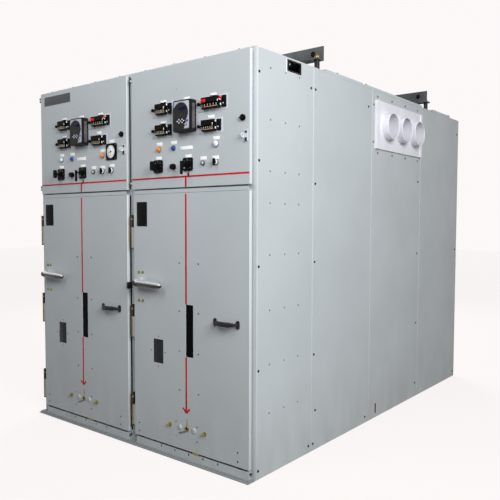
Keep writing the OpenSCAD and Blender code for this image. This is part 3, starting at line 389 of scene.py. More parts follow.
BRONZE = Finish("hinge_bronze", (0.19, 0.155, 0.10), 0.42, metallic=0.3, drift=(0.25, 0.02), specular=0.3)
# Chrome for the lever: painted highlight on top, painted shade underneath.
SHEEN_PAINTED_CHROME = SheenPaintedMetal("chrome_with_painted_sheen", (0.93, 0.94, 0.94), 0.22, metallic=0.75, drift=(0.05, 0.03),
                     grain=(0.0008, 0.02))
WHITE_MOULDING = Finish("white_insulation", (0.92, 0.925, 0.955), 0.5, drift=(0.018, 0.12), grain=(0.003, 0.05),
                        specular=0.35)
DARK_PANE = Finish("smoked_pane", (0.03, 0.03, 0.035), 0.2, drift=(0.25, 0.06), grain=(0.0008, 0.01), specular=0.02)
SMALL_PANE = Finish("small_pane", (0.135, 0.145, 0.165), 0.2, drift=(0.15, 0.05), grain=(0.0008, 0.01), specular=0.1)
LABEL_WHITE = Finish("label_white", (0.98, 0.98, 0.985), 0.40, drift=(0.02, 0.02))
PLATE_GREY = Finish("nameplate_grey", (0.29, 0.3, 0.315), 0.42, metallic=0.2, drift=(0.08, 0.02), specular=0.3,
                    stretch=(0.05, 1.0, 1.0))
BEZEL_GREY = Finish("bezel_grey", (0.66, 0.70, 0.73), 0.45, drift=(0.03, 0.03), specular=0.3)
FLANGE_GREY = Finish("flange_grey", (0.74, 0.765, 0.79), 0.35, drift=(0.03, 0.05), specular=0.35)
RELAY_CASE = Finish("relay_case", (0.12, 0.12, 0.125), 0.4, drift=(0.12, 0.03), specular=0.15)
# A painted reflection on the relay case's right side.
CASE_REFLECTION = Finish("relay_side_painted_reflection", (0.36, 0.335, 0.345), 0.4, drift=(0.14, 0.03), specular=0.2)
SCREEN_NAVY = Finish("screen_navy", (0.02, 0.02, 0.20), 0.35, drift=(0.10, 0.01), specular=0.1)
KEY_BLUE = Finish("key_blue", (0.20, 0.46, 0.74), 0.40, specular=0.3)
KEY_PINK = Finish("key_pink", (0.82, 0.60, 0.68), 0.40, specular=0.3)
TAG_RED = Finish("tag_red", (0.86, 0.08, 0.07), 0.38, specular=0.25)
TAG_GREEN = Finish("tag_green", (0.20, 0.48, 0.36), 0.40, specular=0.25)


@dataclass(frozen=True)
class Seat:
    """A flat surface that pieces stand on: its origin in the object's frame and the way it looks."""

    origin: Point
    facing: Facing

    def at(self, across: float, up: float, out: float, turn: float) -> Matrix:
        """The place of a shape on the surface.

        Args:
            across: distance along the surface.
            up: distance up the surface.
            out: distance out from it.
            turn: turn about the outward axis in degrees.

        Returns:
            The matrix that moves a shape there.
        """
        axes = Matrix([Vector(a) for a in self.facing.value]).transposed().to_4x4()
        spot = Vector((across, up, out)) * MM
        return (Matrix.Translation(Vector(self.origin) * MM) @ axes @ Matrix.Translation(spot)
                @ Matrix.Rotation(math.radians(turn), 4, "Z"))


class Shapes:
    """Small solids that stand on z = 0 and grow towards +z; arguments are in millimetres."""

    EDGE_STEPS = 2
    CORNER_STEPS = 5
    DOME_STEPS = 6
    # The most of a shape's depth that the rounding of its front edge takes.
    EDGE_LIMIT = 0.45
    # Heads, as shares of their radius: depth and edge of a hexagon, its washer's radii and thickness, rise of a pan
    # head and its half section, whose heights are shares of the rise.
    HEX_HEAD = (0.75, 0.2)
    WASHER = (1.35, 1.3, 0.3)
    PAN_RISE = 0.55
    PAN_SECTION = ((1.0, 0.0), (0.97, 0.5), (0.7, 0.9), (0.3, 1.0), (0.18, 0.7), (0.0, 0.7))

    @staticmethod
    def bevelled(shape: Solid, edges: Iterable[bmesh.types.BMEdge], offset: float, steps: int) -> None:
        """Rounds some edges of a shape.

        Args:
            shape: the shape.
            edges: the edges to round.
            offset: width of the rounding.
            steps: number of faces across it.
        """
        bmesh.ops.bevel(shape, geom=list(edges), offset=offset * MM, offset_type="OFFSET", segments=steps,
                        profile=0.5, affect="EDGES", material=-1, clamp_overlap=True)

    @classmethod
    def front_rounded(cls, shape: Solid, depth: float, edge: float) -> None:
        """Rounds the edges of a shape's front face.

        Args:
            shape: the shape.
            depth: its depth.
            edge: width of the rounding.
        """
        top = max(v.co.z for v in shape.verts) - TINY
        edges = [e for e in shape.edges if all(v.co.z >= top for v in e.verts)]
        cls.bevelled(shape, edges, min(edge, depth * cls.EDGE_LIMIT), cls.EDGE_STEPS)

    @classmethod
    def block(cls, width: float, height: float, depth: float, edge: float = 0.5, corner: float = 0.0) -> Solid:
        """A block with a rounded front edge and, where asked, round corners.

        Args:
            width: size across.
            height: size up.
            depth: size out.
            edge: rounding of the front edge.
            corner: radius of the four corners.

        Returns:
            The shape.
        """
        shape = bmesh.new()
        bmesh.ops.create_cube(shape, size=1.0)
        bmesh.ops.scale(shape, vec=Vector((width, height, depth)) * MM, verts=shape.verts)
        bmesh.ops.translate(shape, vec=(0, 0, depth / 2 * MM), verts=shape.verts)
        if corner:
            upright = [e for e in shape.edges if abs(e.verts[0].co.z - e.verts[1].co.z) > TINY]
            cls.bevelled(shape, upright, corner, cls.CORNER_STEPS)
        if edge:
            cls.front_rounded(shape, depth, edge)
        return shape

    @classmethod
    def drum(cls, radius: float, depth: float, edge: float = 0.4, sides: int = 24) -> Solid:
        """A round disc or post with a rounded front rim.

        Args:
            radius: its radius.
            depth: its height.
            edge: rounding of the rim.
            sides: number of sides.

        Returns:
            The shape.
        """
        shape = bmesh.new()
        bmesh.ops.create_cone(shape, cap_ends=True, segments=sides, radius1=radius * MM, radius2=radius * MM,
                              depth=depth * MM)
        bmesh.ops.translate(shape, vec=(0, 0, depth / 2 * MM), verts=shape.verts)
        cls.front_rounded(shape, depth, edge)
        return shape

    @staticmethod
    def lathe(profile: Sequence[Spot], sides: int = 32, closed: bool = False) -> Solid:
        """A turned shape.

        Args:
            profile: radius and height of each point of its half section.
            sides: number of steps round it.
            closed: whether the last point joins the first.

        Returns:
            The shape.
        """
        shape = bmesh.new()
        verts = [shape.verts.new((r * MM, 0, h * MM)) for r, h in profile]
        pairs = list(zip(verts, verts[1:])) + ([(verts[-1], verts[0])] if closed else [])
        edges = [shape.edges.new(pair) for pair in pairs]
        bmesh.ops.spin(shape, geom=verts + edges, axis=(0, 0, 1), cent=(0, 0, 0), steps=sides,
                       angle=2 * math.pi, use_merge=True)
        bmesh.ops.remove_doubles(shape, verts=shape.verts, dist=1e-6)
        bmesh.ops.recalc_face_normals(shape, faces=shape.faces)
        return shape

    @classmethod
    def bolt(cls, radius: float, head: Head) -> Solid:
        """A fastener's head: a hexagon on its washer, or a pan head with its rounded crown.

        Args:
            radius: radius of the head.
            head: kind of head.

        Returns:
            The shape.
        """
        if head is Head.HEX:
            depth, edge = cls.HEX_HEAD
            foot, brim, thick = (radius * share * MM for share in cls.WASHER)
            shape = cls.drum(radius, radius * depth, radius * edge, sides=6)
            bmesh.ops.create_cone(shape, cap_ends=True, segments=14, radius1=foot, radius2=brim, depth=thick)
            return shape
        rise = radius * cls.PAN_RISE
        return cls.lathe([(radius * r, rise * h) for r, h in cls.PAN_SECTION], sides=12)

    @classmethod
    def dome(cls, radius: float, rise: float, sides: int = 28) -> Solid:
        """A lens or cap: a low dome on a short straight wall.

        Args:
            radius: its radius.
            rise: height of its crown, a quarter of it straight.
            sides: number of sides.

        Returns:
            The shape.
        """
        arc = [(radius * math.cos(a), rise * 0.25 + rise * 0.75 * math.sin(a))
               for a in (math.pi / 2 * k / cls.DOME_STEPS for k in range(cls.DOME_STEPS + 1))]
        return cls.lathe([(radius, 0)] + arc, sides)

    @classmethod
    def ring(cls, radius: float, hole: float, depth: float, edge: float = 0.6, sides: int = 32) -> Solid:
        """A ring with rounded front edges.

        Args:
            radius: outer radius.
            hole: radius of the hole.
            depth: its height.
            edge: rounding of the front edges.
            sides: number of sides.

        Returns:
            The shape.
        """
        return cls.lathe([(hole, 0), (radius, 0), (radius, depth - edge), (radius - edge, depth),
                          (hole + edge, depth), (hole, depth - edge)], sides, closed=True)


@dataclass(frozen=True)
class Detail:
    """One small shape of a piece: its sizes, its place from a datum, its finish, its turn in degrees and its maker."""

    sizes: Sizes
    at: Point
    finish: Finish
    turn: float = 0.0
    make: Callable[..., Solid] = Shapes.block


Details = tuple[Detail, ...]


class Workpiece:
    """One piece in the making: shapes are put on seats, then it rides on a body."""

    SHARP_ANGLE = math.radians(38)
    # Each head is turned this much further than the one before.
    HEAD_TURN = 37.0

    def __init__(self, name: str, seat: Seat, *finishes: Finish) -> None:
        """Starts an empty piece.

        Args:
            name: the piece's name.
            seat: the surface that its shapes stand on.
            finishes: its finishes; a shape has the first one unless it names another.
        """
        self.name = name
        self.seat = seat
        self.finishes = finishes
        self.mesh = bmesh.new()

    def put(self, shape: Solid, across: float, up: float, out: float = 0.0, finish: Finish | None = None,
            turn: float = 0.0, seat: Seat | None = None) -> None:
        """Moves a shape to its place and joins it to the piece.

        Args:
            shape: the shape, which is used up.
            across: distance along the seat.
            up: distance up the seat.
            out: distance out from it.
            finish: the shape's finish.
            turn: turn about the outward axis in degrees.
            seat: a seat other than the piece's own.
        """
        index = self.finishes.index(finish) if finish else 0
        for face in shape.faces:
            face.material_index = index
        shape.transform((seat or self.seat).at(across, up, out, turn))
        joined = bpy.data.meshes.new(self.name)
        shape.to_mesh(joined)
        shape.free()
        self.mesh.from_mesh(joined)
        bpy.data.meshes.remove(joined)

    def details(self, details: Details, across: float = 0.0, up: float = 0.0, out: float = 0.0) -> None:
        """Adds some details.

        Args:
            details: the details.
            across: distance of their datum along the seat.
            up: distance of the datum up the seat.
            out: distance of the datum out from it.
        """
        for d in details:
            self.put(d.make(*d.sizes), across + d.at[0], up + d.at[1], out + d.at[2], d.finish, d.turn)

    def bolts(self, spots: Iterable[Spot], radius: float, head: Head = Head.PAN, finish: Finish | None = None,
              out: float = 0.0, seat: Seat | None = None) -> None:
        """Adds a fastener head at each spot.

        Args:
            spots: their places on the seat.
            radius: radius of the heads.
            head: kind of head.
            finish: their finish.
            out: distance out from the seat.
            seat: a seat other than the piece's own.
        """
        for k, (across, up) in enumerate(spots):
            self.put(Shapes.bolt(radius, head), across, up, out, finish, self.HEAD_TURN * k, seat)

    def mount(self, body: str, slot: str, *replaced: str) -> None:
        """Makes the piece an object that rides on a body.

        Args:
            body: the body's name.
            slot: the record's material slot for the piece; not used.
            replaced: CAD nodes that the piece stands for.
        """
        mesh = bpy.data.meshes.new(self.name)
        self.mesh.to_mesh(mesh)
        self.mesh.free()
        for finish in self.finishes:
            mesh.materials.append(finish.material())
        mesh.shade_smooth()
        mesh.set_sharp_from_angle(angle=self.SHARP_ANGLE)
        piece = bpy.data.objects.new(self.name, mesh)
        bpy.context.scene.collection.objects.link(piece)
        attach(piece, body)
        if replaced:
            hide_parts(*replaced)
        LOG.info("%s: %d faces on %s", self.name, len(mesh.polygons), body)


def dress(finish: Finish, *nodes: str) -> None:
    """Gives CAD nodes a finish.

    Args:
        finish: the finish.
        nodes: names of the nodes.
    """
    material = finish.material()
    for name in nodes:
        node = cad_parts[name]
        if not node.material_slots:
            node.data.materials.append(material)
        for slot in node.material_slots:
            slot.material = material
        LOG.info("%s: %s", name, finish.name)


@dataclass
class Enclosure:
    """The sheet-steel enclosure: its painted panels, seams, fasteners and floor details."""

    body: str = "enclosure"
    seams: Row = (605.0, 1410.0, 2310.0)
    seam_w: float = 7.0
    seam_t: float = 1.6
    seam_start: float = 2.0
    seam_h: float = ENCLOSURE_H - 8.0
    # Corner bands: painted shade, then painted highlight beside it.
    corner_band: float = 12.0
    # The painted shadow line under the roof: its ends and its drop.
    top_line: Spot = (640.0, 3200.0)
    top_line_down: float = 6.0
    screw_r: float = 5.6
    bolt_r: float = 6.5
    front_columns: Row = (140.0, 291.0, 441.0)
    front_rows: Row = (2415.0, 2116.0, 1817.0, 1629.0, 1323.0, 994.0, 669.0, 374.0)
    corner_y: float = 33.0
    corner_rows: Row = (2376.0, 1872.0, 1260.0, 648.0, 52.0)
    seam_spots: Spots = (
        (573.0, 2374.0), (626.0, 2374.0), (573.0, 46.0), (626.0, 46.0), (630.0, 1769.0), (630.0, 1259.0),
        (630.0, 646.0), (651.0, 268.0), (1350.0, 2375.0), (1350.0, 46.0), (2263.0, 1870.0), (2263.0, 1255.0),
        (2263.0, 649.0), (2263.0, 120.0), (3170.0, 2376.0), (3170.0, 1260.0), (3170.0, 52.0))
    rear_columns: Row = (40.0, 533.0, 1027.0)
    rear_rows: Row = (60.0, 640.0, 1215.0, 1300.0, 1880.0, 2460.0)
    roof_front_columns: Row = (130.0, 400.0, 667.0, 937.0)
    roof_front_y: float = 12.0
    roof_bolt_r: float = 8.0
    flap_inset: float = 13.0
    flap_rows: Row = (915.0, 1328.0, 1840.0, 2205.0, 2640.0, 2960.0)
    flap_bolt_r: float = 7.0
    flap_top: float = 18.0
    drain: Sizes = (16.0, 80.0, 1.2, 0.5, 7.5)
    drain_at: Spot = (1523.0, 72.0)
    catch: Sizes = (60.0, 14.0, 4.0, 1.0, 3.0)
    catch_at: Spot = (618.0, 60.0)
    catch_out: float = 23.0
    hinge_ring: Sizes = (9.0, 7.6, 9.0, 1.0, 20)
    ring_rows: Row = (1532.0, 924.5, 317.0)
    post_bolt: Spot = (24.0, 40.0)
    bumper: Sizes = (14.0, 44.0, 40.0, 7.0, 6.8)
    bumper_at: Spot = (1056.5, 1086.0)
    wireway: tuple[Spot, Spot] = ((303.0, 453.0), (2430.0, 2502.0))
    # Width and thickness of the painted highlight strips round the opening.
    highlight_w: float = 4.0
    highlight_t: float = 3.0
    tab: Sizes = (26.0, 18.0, 3.0, 0.6, 3.0)
    tab_in: Spot = (22.0, 28.0)
    tab_out: float = 1.0
    tab_screw_in: float = 25.0
    tab_screw_r: float = 4.6
    # Black strips that paint the shadow in the gap beside the left doors.
    gap_shade_x: float = 1054.0
    gap_shade_t: float = 4.0
    gap_shade_runs: tuple[Point, ...] = ((9.0, 75.0, 1700.0), (5.0, 1740.0, 2495.0))
    right: Seat = Seat((CUBICLE_W, FRONT_Y, 0.0), Facing.RIGHT)
    left: Seat = Seat((-CUBICLE_W, -FRONT_Y, 0.0), Facing.LEFT)
    rear: Seat = Seat((CUBICLE_W, -FRONT_Y, 0.0), Facing.REAR)
    roof: Seat = Seat((-CUBICLE_W, FRONT_Y, ENCLOSURE_H), Facing.TOP)
    front: Seat = Seat((0.0, FRONT_Y, 0.0), Facing.FRONT)
    # Each side wall with the place of the front corner on it and the way that leads to the rear.
    walls: tuple[tuple[Seat, float, float], ...] = ((right, 0.0, 1.0), (left, ENCLOSURE_D, -1.0))
    cubicle_starts: Spot = (0.0, CUBICLE_W)

    def build(self) -> None:
        """Dresses the panels and adds the enclosure's small pieces."""
        dress(GREY_PAINT, "floor_pans", "front_posts", "front_rails", "kick_plates",
              "right_front_panel", "right_bus_panel", "right_side_panels", "left_side_panels", "centre_barrier",
              "roof_plates", "relief_flaps", "rear_panels", "compartment_shelves", "compartment_backs")
        dress(BASE_PAINT, "base_angle")
        dress(BLACK_STEEL, "wireway_trim")
        dress(BRONZE, "frame_hinges")
        self.seam_beads()
        self.side_fasteners()
        self.rear_fasteners()
        self.roof_fasteners()
        self.drain_slot()
        self.front_details()
        self.wireway_highlight()
        self.gap_shade_strips()

    def seam_beads(self) -> None:
        """Adds the panel seams' folded lips in pale paint, which is a painted highlight, the corner bands of painted
        shade and painted highlight, and the painted shadow line under the roof.
        """
        piece = Workpiece("panel_seams_painted_light", self.right, PALE_AND_HIGHLIGHT_PAINT, EDGE_SHADE)
        tall, band = self.seam_h, self.corner_band
        middle = tall / 2 + self.seam_start
        start, end = self.top_line
        for y in self.seams:
            for seat, corner, way in self.walls:
                piece.put(Shapes.block(self.seam_w, tall, self.seam_t, edge=0.7), corner + way * y, middle, seat=seat)
        for seat, corner, way in self.walls:
            piece.put(Shapes.block(band, tall, depth=0.5, edge=0.2), corner + way * band * 0.5, middle,
                      finish=EDGE_SHADE, seat=seat)
            piece.put(Shapes.block(band, tall, depth=1.0, edge=0.4), corner + way * band * 1.5, middle, seat=seat)
            piece.put(Shapes.block(end - start, height=4.0, depth=0.7, edge=0.3), corner + way * (start + end) / 2,
                      ENCLOSURE_H - self.top_line_down, finish=EDGE_SHADE, seat=seat)
        piece.mount(self.body, "grey_paint")

    def side_fasteners(self) -> None:
        """Adds the screws and bolts of both side walls."""
        screws = Workpiece("side_screws", self.right, GREY_ZINC)
        bolts = Workpiece("side_bolts", self.right, BLACK_STEEL)
        panel = grid(self.front_columns, self.front_rows)
        edge = [(self.corner_y, z) for z in self.corner_rows] + list(self.seam_spots)
        for seat, corner, way in self.walls:
            screws.bolts([(corner + way * y, z) for y, z in panel], self.screw_r, seat=seat)
            bolts.bolts([(corner + way * y, z) for y, z in edge], self.bolt_r, Head.HEX, seat=seat)
        screws.mount(self.body, "zinc_steel")
        bolts.mount(self.body, "black_steel")

    def rear_fasteners(self) -> None:
        """Adds the bolts round the rear panels."""
        piece = Workpiece("rear_bolts", self.rear, GREY_ZINC)
        for start in self.cubicle_starts:
            columns = [start + x for x in self.rear_columns]
            piece.bolts(grid(columns, self.rear_rows), self.bolt_r, Head.HEX)
        piece.mount(self.body, "zinc_steel")

    def roof_fasteners(self) -> None:
        """Adds the bolts along the roof's front edge and beside the relief flaps."""
        piece = Workpiece("roof_bolts", self.roof, GREY_ZINC, BRONZE)
        for start in self.cubicle_starts:
            columns = [start + x for x in self.roof_front_columns]
            sides = (start + self.flap_inset, start + CUBICLE_W - self.flap_inset)
            piece.bolts(grid(columns, (self.roof_front_y,)), self.roof_bolt_r, Head.HEX)
            piece.bolts(grid(sides, self.flap_rows), self.flap_bolt_r, Head.HEX, BRONZE, self.flap_top)
        piece.mount(self.body, "zinc_steel")

    def drain_slot(self) -> None:
        """Adds the dark drain slot low on the right wall."""
        piece = Workpiece("drain_slot", self.right, BLACK_PLASTIC)
        piece.put(Shapes.block(*self.drain), *self.drain_at)
        piece.mount(self.body, "black_plastic")

    def front_details(self) -> None:
        """Adds the plated catches and hinge rings, the post bolts and the bumper on the centre post."""
        catch = Workpiece("kick_catches", self.front, YELLOW_ZINC)
        stud = Workpiece("post_details", self.front, BLACK_STEEL, GREY_ZINC)
        inset, low = self.post_bolt
        for side in Side:
            start = side.value
            catch.put(Shapes.block(*self.catch), start + self.catch_at[0], self.catch_at[1], self.catch_out)
            stud.bolts([(start + inset, low), (start + CUBICLE_W - inset, low)], self.bolt_r, Head.HEX, GREY_ZINC)
            seat = Seat((start + HINGE_X, FRONT_Y - HINGE_OUT, 0.0), Facing.TOP)
            for z in self.ring_rows:
                catch.put(Shapes.ring(*self.hinge_ring), 0.0, 0.0, z, seat=seat)
        stud.put(Shapes.block(*self.bumper), Side.LEFT.value + self.bumper_at[0], self.bumper_at[1])
        catch.mount(self.body, "zinc_steel")
        stud.mount(self.body, "black_steel")

    def wireway_highlight(self) -> None:
        """Adds white strips down both sides and along the bottom of the wireway opening, a painted highlight on its
        lit edges, and the screwed tab inside it.
        """
        piece = Workpiece("wireway_highlight", self.right, LABEL_WHITE, BLACK_STEEL, PALE_ZINC)
        (near, far), (low, high) = self.wireway
        w, t = self.highlight_w, self.highlight_t
        for y in (near - w / 2, far + w / 2):
            piece.put(Shapes.block(w, high - low, t, edge=0.8), y, (low + high) / 2)
        piece.put(Shapes.block(far - near + 2 * w, w, t, edge=0.8), (near + far) / 2, low - w / 2)
        along, down = self.tab_in
        piece.put(Shapes.block(*self.tab), near + along, high - down, self.tab_out, BLACK_STEEL)
        piece.bolts([(near + self.tab_screw_in, high - down)], self.tab_screw_r, Head.PAN, PALE_ZINC,
                    self.tab_out + self.tab[2])
        piece.mount(self.body, "grey_paint")

    def gap_shade_strips(self) -> None:
        """Adds black strips on the centre post beside the left doors: painted shadow of the gap between the cubicles.
        """
        piece = Workpiece("centre_gap_shade", self.front, BLACK_PLASTIC)
        for width, low, high in self.gap_shade_runs:
            piece.put(Shapes.block(width, high - low, self.gap_shade_t, edge=1.2), Side.LEFT.value + self.gap_shade_x,
                      (low + high) / 2)
        piece.mount(self.body, "black_plastic")


@dataclass
class BusBushing:
    """The white three-tube bushing on the right wall and the bolts round it."""

    body: str = "enclosure"
    bolt_r: float = 7.0
    bolt_rows: tuple[Point, ...] = ((1494.0, 2229.0, 2470.0), (1505.0, 2245.0, 2048.0))
    row_count: int = 4
    bolt_column: Spots = ((1432.0, 2402.0), (1432.0, 2125.0))
    wall: Seat = Seat((CUBICLE_W, FRONT_Y, 0.0), Facing.RIGHT)

    def build(self) -> None:
        """Dresses the moulding and adds its bolts."""
        dress(WHITE_MOULDING, "bus_bushing")
        piece = Workpiece("bushing_bolts", self.wall, YELLOW_ZINC)
        for first, last, z in self.bolt_rows:
            step = (last - first) / (self.row_count - 1)
            piece.bolts([(first + step * k, z) for k in range(self.row_count)], self.bolt_r, Head.HEX)
        piece.bolts(self.bolt_column, self.bolt_r, Head.HEX)
        piece.mount(self.body, "zinc_steel")


@dataclass
class LiftingGear:
    """The black lifting angles on the roof, the studs, spacers and nuts that hold them, and black discs that fill
    their lifting holes.
    """

    body: str = "enclosure"
    stud_x: Row = (-1041.0, -26.0, 26.0, 1041.0)
    stud_y: Spot = (680.5, 2462.5)
    stand: float = 63.0
    foot_t: float = 10.0
    spacer_r: float = 20.0
    collar: float = 5.0
    waist: float = 7.0
    waist_in: float = 2.5
    nut: Spot = (17.0, 17.0)
    nut_turn: float = 15.0
    washer_w: float = 3.0
    washer_t: float = 2.5
    stud_r: float = 8.0
    stud_end: float = 11.0
    stud_taper: float = 1.5
    thread: float = 2.0
    thread_depth: float = 0.9
    hole_fill: Sizes = (18.7, 5.0, 1.0, 32)
    hole_in: float = 79.0
    hole_up: float = 52.5
    upright_y: Spot = (718.0, 2425.0)
    roof: Seat = Seat((0.0, FRONT_Y, ENCLOSURE_H), Facing.TOP)

    def build(self) -> None:
        """Dresses the angles and adds the studs and the discs in the lifting holes."""
        dress(LIFT_STEEL, "lifting_angles")
        dress(YELLOW_ZINC, "lifting_studs")
        piece = Workpiece("lifting_stud_sets", self.roof, YELLOW_ZINC, BLACK_STEEL, DARK_ZINC)
        top = self.stand + self.foot_t
        nut_r, nut_h = self.nut
        thick = self.washer_t
        for x, y in grid(self.stud_x, self.stud_y):
            piece.put(self.spacer(), x, y, 0.0, BLACK_STEEL)
            piece.put(Shapes.ring(nut_r + self.washer_w, self.stud_r, thick, sides=28), x, y, top, DARK_ZINC)
            piece.put(Shapes.drum(nut_r, nut_h - thick, edge=2.0, sides=6), x, y, top + thick, turn=self.nut_turn)
            piece.put(self.threaded_end(), x, y, top + nut_h)
        piece.mount(self.body, "zinc_steel", "lifting_studs")
        self.hole_fills()

    def hole_fills(self) -> None:
        """Adds black discs that fill the lifting holes, so that the holes look dark."""
        reach = CUBICLE_W - self.hole_in
        faces = [Seat((0.0, FRONT_Y + y, ENCLOSURE_H + self.stand), Facing.FRONT) for y in self.upright_y]
        piece = Workpiece("lifting_hole_fills", faces[0], BLACK_PLASTIC)
        for x in (-reach, reach):
            for face in faces:
                piece.put(Shapes.drum(*self.hole_fill), x, self.hole_up, -self.hole_fill[1] / 2, seat=face)
        piece.mount(self.body, "black_plastic")

    def spacer(self) -> Solid:
        """The tube between the roof and an angle's foot, with a collar at each end.

        Returns:
            The shape.
        """
        r, h, thin = self.spacer_r, self.stand, self.spacer_r - self.waist_in
        return Shapes.lathe([(0, 0), (r, 0), (r, self.collar), (thin, self.waist), (thin, h - self.waist),
                             (r, h - self.collar), (r, h), (0, h)])

    def threaded_end(self) -> Solid:
        """The end of a stud above its nut, with its thread's ridges.

        Returns:
            The shape.
        """
        r, end = self.stud_r, self.stud_end
        count = 2 * int(end / self.thread) - 1
        ridges = [(r - self.thread_depth * (k % 2), self.thread * (k + 1) / 2) for k in range(count)]
        return Shapes.lathe([(0, 0), (r, 0), *ridges, (r - self.stud_taper, end), (0, end)], sides=24)


@dataclass(frozen=True)
class BarePlate:
    """A plate without words, with a pin at each corner."""

    at: Spot
    size: Spot
    thick: float
    edge: float
    pin_in: float
    corner: float = 2.0
    pin_r: float = 2.2

    def put_on(self, piece: Workpiece) -> None:
        """Adds the plate and its pins to a piece.

        Args:
            piece: the piece, which has the pins' grey zinc among its finishes.
        """
        (x, z), (w, h) = self.at, self.size
        dx, dz = w / 2 - self.pin_in, h / 2 - self.pin_in
        piece.put(Shapes.block(w, h, self.thick, self.edge, self.corner), x, z)
        piece.bolts(grid((x - dx, x + dx), (z - dz, z + dz)), self.pin_r, Head.PAN, GREY_ZINC, self.thick)


@dataclass(frozen=True)
class TestSwitch:
    """A test switch's flange, blades, end walls and tags, placed from its left end at mid height."""

    at: Spot
    width: float
    tags: Details = ()
    height: float = 66.0
    end_w: float = 40.0
    margin: Spot = (60.0, 26.0)
    flange_shift: Spot = (-20.0, -1.0)
    blade: Sizes = (4.5, 16.0, 5.0, 0.8)
    blade_from: Spot = (20.5, 16.0)
    blades: int = 5
    bar_share: float = 0.78
    bar_from: Spot = (11.0, 17.0)
    # The latch and the end walls beside the place where the low end starts.
    at_break: Details = (
        Detail((4.0, 14.0, 1.4, 0.4), (-7.0, 6.0, 28.0), LABEL_WHITE),
        *(Detail((3.0, 12.0, 15.0, 0.6), (3.0, z, 0.0), LABEL_WHITE) for z in (-16.0, 24.0)))
    # The post and the cap on the low end.
    at_end: Details = (
        Detail((3.6, 1.4, 0.4, 14), (-16.0, -12.0, 12.0), LABEL_WHITE, make=Shapes.drum),
        Detail((14.0, 29.04, 1.2, 0.5), (-14.0, 14.0, 12.0), BLACK_PLASTIC))

    def put_on(self, piece: Workpiece) -> None:
        """Adds the fittings to a piece.

        Args:
            piece: the piece for them.
        """
        (x, z), w, h = self.at, self.width, self.height
        main, low = w - self.end_w, z - h / 2
        piece.put(Shapes.block(w + self.margin[0], h + self.margin[1], depth=1.6, corner=2.0),
                  x + w / 2 + self.flange_shift[0], z + self.flange_shift[1])
        up, out = self.blade_from
        for k in range(1, self.blades + 1):
            piece.put(Shapes.block(*self.blade), x + main * k / (self.blades + 1), low + up, out, BRASS)
        up, out = self.bar_from
        piece.put(Shapes.block(main * self.bar_share, height=4.0, depth=4.0, edge=0.8), x + main / 2, low + up, out,
                  BRASS)
        piece.details(self.at_break, x + main, z)
        piece.details(self.at_end, x + w, z)
        piece.details(self.tags, x, z)


@dataclass(frozen=True)
class Meter:
    """The round meter's white dial with its scale, pointer and screws."""

    at: Spot = (892.0, 2003.0)
    base: float = 7.0
    dial: Sizes = (45.0, 1.4, 0.3, 48)
    ticks: int = 28
    first_tick: float = 225.0
    tick_step: float = 10.0
    long_every: int = 9
    # Reach of a tick from the centre, then its sizes.
    long_tick: tuple[float, Sizes] = (35.0, (8.0, 1.5, 0.4, 0.0))
    short_tick: tuple[float, Sizes] = (37.5, (4.0, 0.8, 0.4, 0.0))
    pointer: tuple[float, Sizes] = (15.0, (34.0, 2.2, 0.8, 0.2))
    pointer_turn: float = 200.0
    pointer_out: float = 2.2
    hub: Sizes = (6.0, 4.0, 20)
    screw_out: float = 46.0
    screw_r: float = 3.0

    def put_on(self, piece: Workpiece) -> None:
        """Adds the dial to a piece.

        Args:
            piece: the piece for it.
        """
        x, z = self.at
        face = self.base + self.dial[1]
        marks = [(self.long_tick if k % self.long_every == 0 else self.short_tick,
                  self.first_tick - self.tick_step * k, face) for k in range(self.ticks)]
        marks.append((self.pointer, self.pointer_turn, self.base + self.pointer_out))
        piece.put(Shapes.drum(*self.dial), x, z, self.base)
        for (reach, sizes), turn, out in marks:
            angle = math.radians(turn)
            piece.put(Shapes.block(*sizes), x + reach * math.cos(angle), z + reach * math.sin(angle), out,
                      BLACK_PLASTIC, turn)
        piece.put(Shapes.dome(*self.hub), x, z, face, BLACK_PLASTIC)
        piece.bolts(grid((x - self.screw_out, x + self.screw_out), (z - self.screw_out, z + self.screw_out)),
                    self.screw_r, Head.PAN, GREY_ZINC, self.base)


@dataclass
class Door:
    """A door of one cubicle with a painted highlight strip down its free edge; places on it are from the cubicle's
    left side.
    """

    KIND: ClassVar[str] = "door"
    # Painted highlight strip: width and thickness, then inset from the front edge and from each end.
    HIGHLIGHT_STRIP: ClassVar[Spot] = (22.0, 0.6)
    HIGHLIGHT_FROM: ClassVar[Spot] = (1.5, 3.0)
    side: Side

    def __post_init__(self) -> None:
        """Sets the door's node, which is its body's name too, and the seat on its face."""
        self.word = self.side.name.lower()
        self.body = f"{self.KIND}_{self.word}"
        self.seat = Seat((self.side.value, FRONT_Y - DOOR_FACE, 0.0), Facing.FRONT)

    def piece(self, name: str, *finishes: Finish) -> Workpiece:
        """A piece on the door's face that is named for its cubicle."""
        return Workpiece(f"{name}_{self.word}", self.seat, *finishes)

    def dress(self, finish: Finish, *nodes: str) -> None:
        """Gives nodes on the door, named without their cubicle, a finish."""
        dress(finish, *(f"{node}_{self.word}" for node in nodes))

    def edge_highlight(self) -> None:
        """Adds the painted highlight strip down the door's free edge."""
        low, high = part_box(self.body)
        tall = (high.z - low.z) / MM
        (width, thick), (inset, short) = self.HIGHLIGHT_STRIP, self.HIGHLIGHT_FROM
        edge = Seat((high.x / MM, low.y / MM, low.z / MM), Facing.RIGHT)
        piece = Workpiece(f"{self.body}_edge", edge, PALE_AND_HIGHLIGHT_PAINT)
        piece.put(Shapes.block(width, tall - 2 * short, thick, edge=0.2), width / 2 + inset, tall / 2)
        piece.mount(self.body, "grey_paint")


